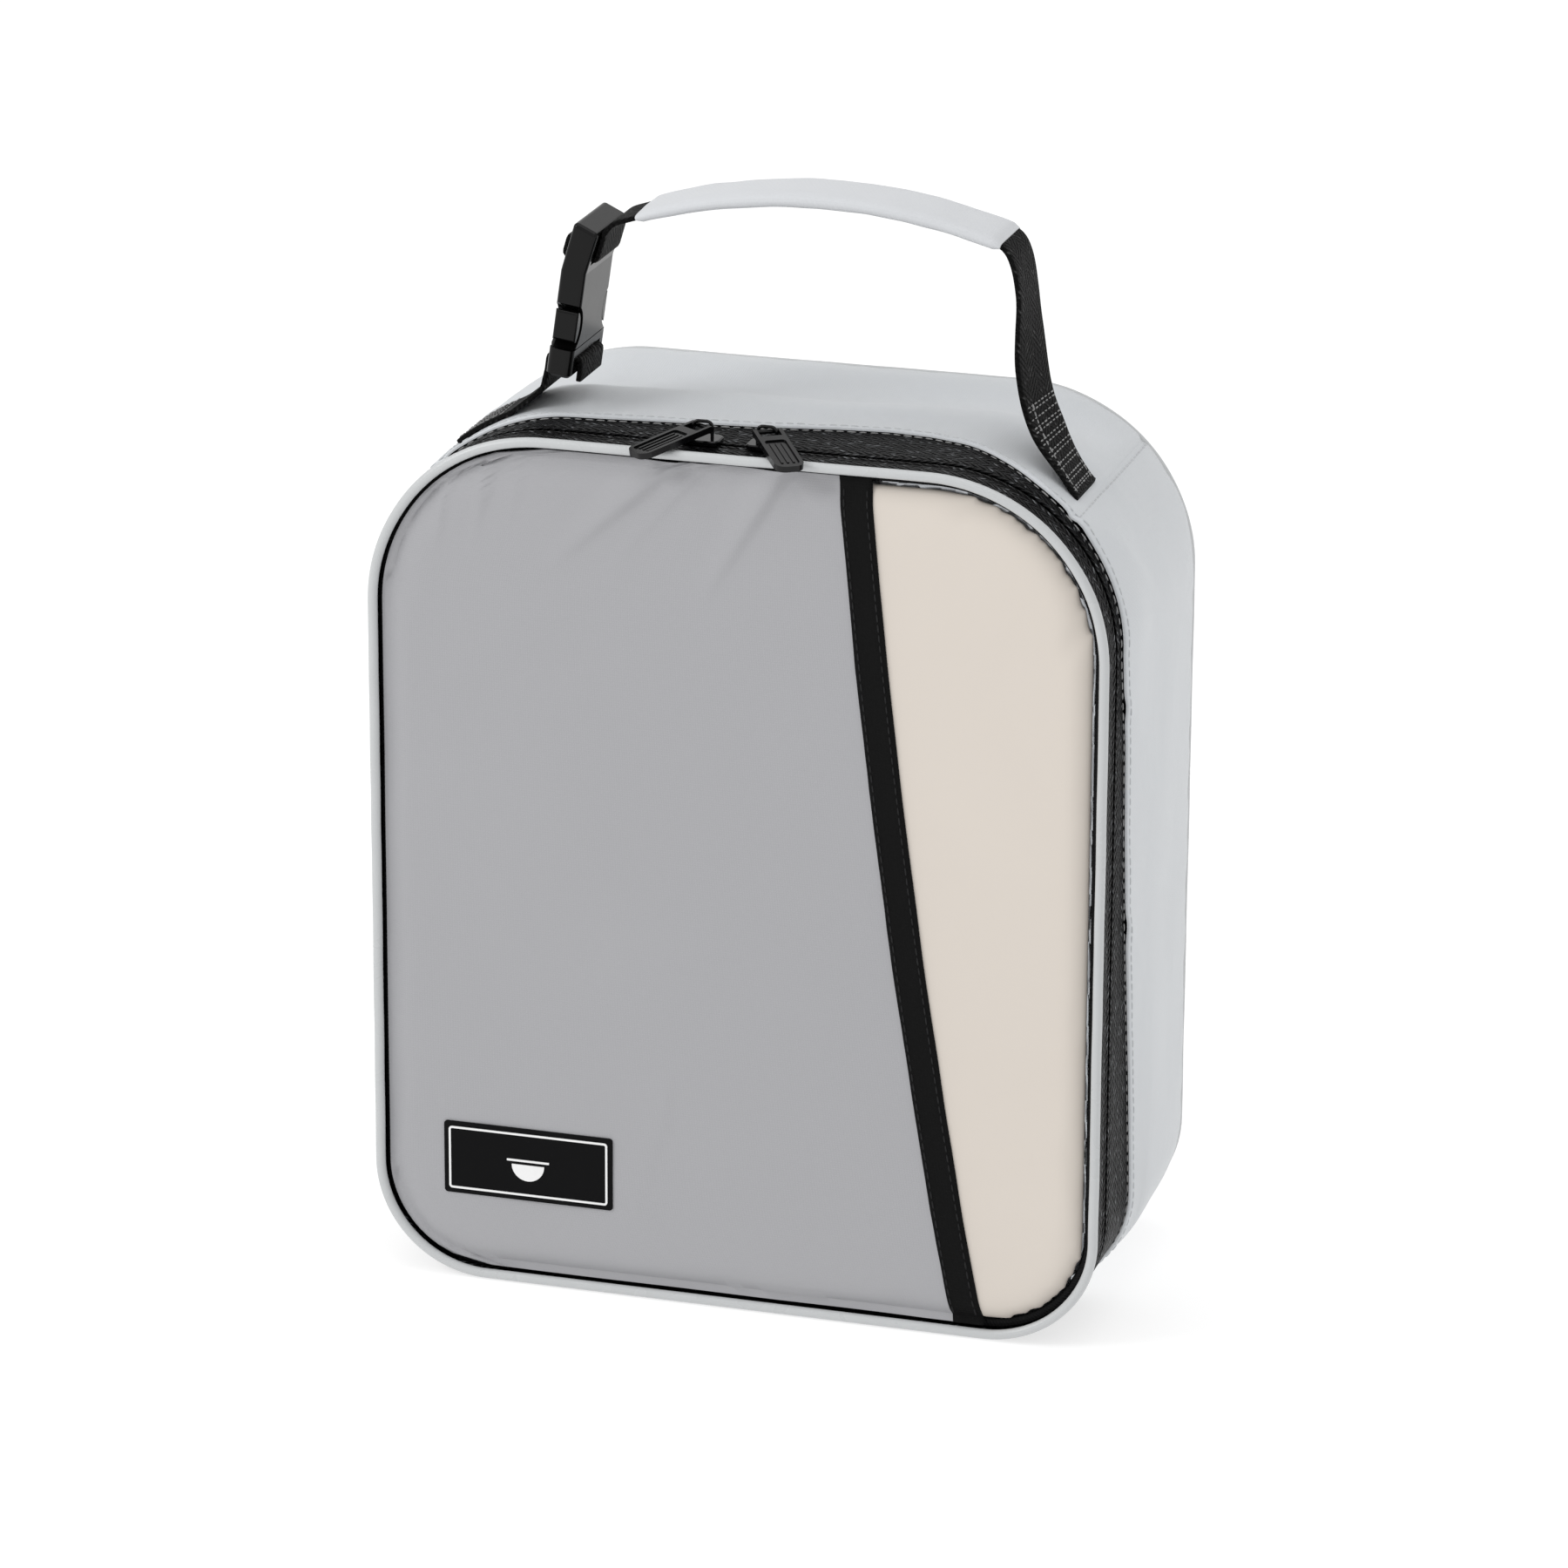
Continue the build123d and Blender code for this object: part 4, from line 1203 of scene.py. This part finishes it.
def set_out(name, lines, piece, finish_name, body, slot, spacing, uneven=0.08, across=(0, 1, 0), nodes=()):
    """Copies of a small shape along lines (millimetres), as one plain mesh on one body."""
    verts, joins = [], []
    for line in lines:
        first = len(verts)
        verts += [tuple(np.array(p) * MM) for p in line]
        joins += [(first + k, first + k + 1) for k in range(len(line) - 1)]
    mesh = bpy.data.meshes.new(name + "_lines")
    mesh.from_pydata(verts, joins, [])
    host = linked(name, mesh)
    modifier = host.modifiers.new("set out", "NODES")
    modifier.node_group = SET_OUT
    names = {item.name: item.identifier for item in SET_OUT.interface.items_tree if item.in_out == "INPUT"}
    for label, value in (("Piece", piece), ("Finish", MATERIALS[finish_name]), ("Spacing", spacing * MM),
                         ("Uneven", uneven), ("Across", across)):
        modifier[names[label]] = value
    applied(host, name)
    host.data.shade_smooth()
    return put(host, body, slot, *nodes, skin=finish_name)


def small_shape(name, rows):
    """A small shape from a grid of points in millimetres, used only as a pattern to copy."""
    points = np.array(rows, float)
    return grid(name, points, (np.zeros(points.shape[0] + 1), np.zeros(points.shape[1] + 1)))


def stitch_shape(length, radius):
    """One stitch: a short thread, thin at its ends, lying along X."""
    rows = []
    for t, r, h in ((-1, 0.3, -0.9), (-0.6, 0.9, -0.1), (0, 1.0, 0.35), (0.6, 0.9, -0.1), (1, 0.3, -0.9)):
        rows.append([(t * length / 2, r * radius * math.cos(a), r * radius * math.sin(a))
                     for a in np.linspace(0, 2 * math.pi, 6, endpoint=False)])
    return small_shape("stitch_pattern", rows)


def tooth_shape():
    """One turn of the coil: a flat loop of monofilament across the tape's edge."""
    loop = [(-1.05, 0.3), (0.55, 0.38), (1.0, 0.12), (1.08, -0.25), (0.6, -0.5), (-1.05, -0.42)]
    rows = []
    for k, (y, z) in enumerate(loop):
        lean = 0.12 * (k - 2.5)
        rows.append([(lean + 0.3 * math.cos(a), y, z + 0.3 * math.sin(a))
                     for a in np.linspace(0, 2 * math.pi, 6, endpoint=False)])
    return small_shape("tooth_pattern", rows)


# %% [markdown]
# The rows of stitching: along the gusset's front edge and the tape beside it, beside the corner seams, along
# the pocket's binding, and in short rows across the straps' sewn ends.

# %% Stitching


def on_wall(p, n, s, y, lift):
    """A point on the gusset's outer face."""
    rise = wall_swell(p[0], p[1], n[1], s % ROUND, y) + lift
    back = hem_shift(p[0], p[1]) * hem_share(y)
    return p[0] + n[0] * rise, y + back, p[1] + n[1] * rise


def wall_line(s_values, y, lift):
    """A line along the gusset's outer face."""
    return [on_wall(p, n, s, y, lift) for p, n, s in zip(*outline_at(s_values), s_values)]


TAPE_DEPTH = 1.02       # how far inside the outline the zip tape beside the hem lies


def hem_line(s_values, ahead):
    """A line on the body's tape, just in front of the cloth's hem."""
    return [(p[0] - n[0] * TAPE_DEPTH, WALL_START + hem_shift(p[0], p[1]) + ahead, p[1] - n[1] * TAPE_DEPTH)
            for p, n in zip(*outline_at(s_values))]


def seam_line(s, lift=0.03):
    """A line across the gusset, beside a corner seam."""
    points, out = outline_at([s])
    return [on_wall(points[0], out[0], s, y, lift) for y in spaced(WALL_START + 3, WALL_END - 2, 2)]


stitch = stitch_shape(2.3, 0.24)
front_rows = [wall_line(spaced(ZIP_END + 2, ROUND - ZIP_END - 2, 2), WALL_START + 1.7, 0.05)]
set_out("gusset_edge_stitches", front_rows, stitch, "pale_thread", "shell", "body_cloth", 3.1)
seam_rows = [seam_line(SEAM_RIGHT - 1.6), seam_line(SEAM_LEFT + 1.6)]
set_out("corner_seam_stitches", seam_rows, stitch, "pale_thread", "shell", "body_cloth", 3.1)
tape_rows = [hem_line(spaced(ZIP_END + 2, ROUND - ZIP_END - 2, 2), -0.9)]
set_out("tape_edge_stitches", tape_rows, stitch, "grey_thread", "shell", "zip_tape", 3.3, 0.15)


def door_line(x_of, lift, z0, z1):
    return [(x_of(z), pad_y(x_of(z), z) - lift, z) for z in spaced(z0, z1, 3)]


set_out("binding_stitches",
        [door_line(lambda z: pocket_x(z) + side * (BOUND / 2 - 1.3), 1.22, 8, HEIGHT - 8)
         for side in (-1, 1)],
        stitch, "black_thread", "door", "black_binding", 3.0)


def ribbon_line(line, run, across, lift):
    """A lengthwise line on a strap's outer face, over part of its run."""
    side = frames_along(line)
    dist = lengths(line)[:-1]
    return [(p[0] + n[0] * lift, HANDLE_Y + across, p[1] + n[1] * lift)
            for p, n, d in zip(line, side, dist) if run[0] <= d <= run[1]]


def ladder(line, run, step, lift):
    """Short rows of stitching across a strap."""
    side, dist = frames_along(line), lengths(line)[:-1]
    rows = []
    for want in np.arange(run[0], run[1], step):
        k = int(np.argmin(abs(dist - want)))
        row = []
        for y in (-8.2, 8.2):
            p = line[k] + side[k] * (lift - strap_twist(*line[k]) * y / (WEB_WIDE / 2))
            row.append((p[0], HANDLE_Y + y, p[1]))
        rows.append(row)
    return rows


stitch_small = stitch_shape(1.5, 0.24)
for name, line, sign, reach in (("right", carry_line, -1, 30), ("left", low_line, 1, 16)):
    lift = sign * (WEB / 2 + 0.03)
    rows = ladder(line, (1.5, reach), 2.0, lift)
    rows += [ribbon_line(line, (1.0, reach), y, lift) for y in (-8.0, 8.0)]
    set_out(f"anchor_stitches_{name}", rows, stitch_small, "grey_thread", fold, "black_webbing", 2.1, 0.2)

# %% [markdown]
# The coil lies under the tapes' edges and shows when the door is open.

# %% Coil
tooth = tooth_shape()
for name, body, node in (("door_coil", "door", "zip_coil_door"), ("body_coil", "shell", "zip_coil_body")):
    box = edges(node)
    y = (box[0][1] + box[1][1]) / 2
    points, out = outline_at(zip_walk)
    line = [(p[0] - n[0] * 2.78, y, p[1] - n[1] * 2.78) for p, n in zip(points, out)]
    across = (0, 1, 0) if body == "door" else (0, -1, 0)
    set_out(name, [line], tooth, "zip_coil", body, "zip_coil", 1.35, 0.0, across, (node,))
for pattern in (stitch, stitch_small, tooth):
    bpy.data.objects.remove(pattern)

# %% [markdown]
# ## Hard parts
# The frame's own sliders, bails, pulls, buckle and label have the right shapes, so they keep their meshes
# and only get a finish.

# %% Finishes on the frame's own parts
KEPT = {
    "black_plastic": ("buckle_female", "buckle_male", "buckle_arm_front", "buckle_arm_rear"),
    "zip_metal": ("slider_left", "slider_right", "slider_bail_left", "slider_bail_right",
                  "zip_pull_left", "zip_pull_right"),
    "label_rubber": ("label_patch",),
    "label_print": ("label_motif",),
}
for skin, nodes in KEPT.items():
    for node in nodes:
        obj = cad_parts[node]
        obj.data.materials.clear()
        obj.data.materials.append(MATERIALS[skin])
print("kept parts:", sum(len(v) for v in KEPT.values()))

# %% [markdown]
# ## Studio
# A white floor, a white surround and three large soft lights. The camera looks down a little from the right.

# %% Floor, light and camera
FLOOR_HALF, FLOOR_Z = 12, -0.0004
floor_mesh = bpy.data.meshes.new("floor")
corners = [(x * FLOOR_HALF, y * FLOOR_HALF, FLOOR_Z) for x, y in ((-1, -1), (1, -1), (1, 1), (-1, 1))]
floor_mesh.from_pydata(corners, [], [(0, 1, 2, 3)])
floor = linked("floor", floor_mesh)
floor_skin = bpy.data.materials.new("floor")
floor_skin.use_nodes = True
floor_sockets = floor_skin.node_tree.nodes["Principled BSDF"].inputs
for socket, value in (("Base Color", (0.42, 0.42, 0.42, 1)), ("Emission Color", (1, 1, 1, 1)),
                      ("Emission Strength", 0.68), ("Roughness", 0.9), ("Specular IOR Level", 0.0)):
    floor_sockets[socket].default_value = value
floor_mesh.materials.append(floor_skin)

scene = bpy.context.scene
scene.view_settings.view_transform = "Standard"
world = bpy.data.worlds.new("studio")
scene.world = world
world.use_nodes = True
world.node_tree.nodes["Background"].inputs["Color"].default_value = (1, 1, 1, 1)
world.node_tree.nodes["Background"].inputs["Strength"].default_value = 0.8


def soft_light(name, place, aim, size, power):
    data = bpy.data.lights.new(name, "AREA")
    data.shape, data.size, data.energy = "SQUARE", size, power
    light = linked(name, data)
    light.location = place
    light.rotation_euler = (Vector(aim) - Vector(place)).to_track_quat("-Z", "Y").to_euler()
    return light


soft_light("key", (-1.5, -1.15, 1.5), (0, 0, 0.15), 0.8, 16)
soft_light("top", (0.1, -0.1, 2.0), (0, 0, 0.2), 1.4, 7)
soft_light("fill", (0.4, -1.9, 1.2), (0, 0, 0.15), 1.6, 2)

azimuth, elevation, roll = math.radians(16.63), math.radians(18.91), math.radians(0.27)
back = Vector((math.sin(azimuth) * math.cos(elevation), -math.cos(azimuth) * math.cos(elevation),
               math.sin(elevation)))
right = Vector((math.cos(azimuth), math.sin(azimuth), 0))
up = back.cross(right)
turned_right = right * math.cos(roll) + up * math.sin(roll)
turned_up = up * math.cos(roll) - right * math.sin(roll)
camera_data = bpy.data.cameras.new("camera")
camera_data.lens = 162.4
camera_data.sensor_width = 36.0
camera = linked("camera", camera_data)
where = Vector((0.5611, -1.8786, 0.8172))
camera.matrix_world = Matrix((
    (turned_right.x, turned_up.x, back.x, where.x),
    (turned_right.y, turned_up.y, back.y, where.y),
    (turned_right.z, turned_up.z, back.z, where.z),
    (0, 0, 0, 1)))
scene.camera = camera
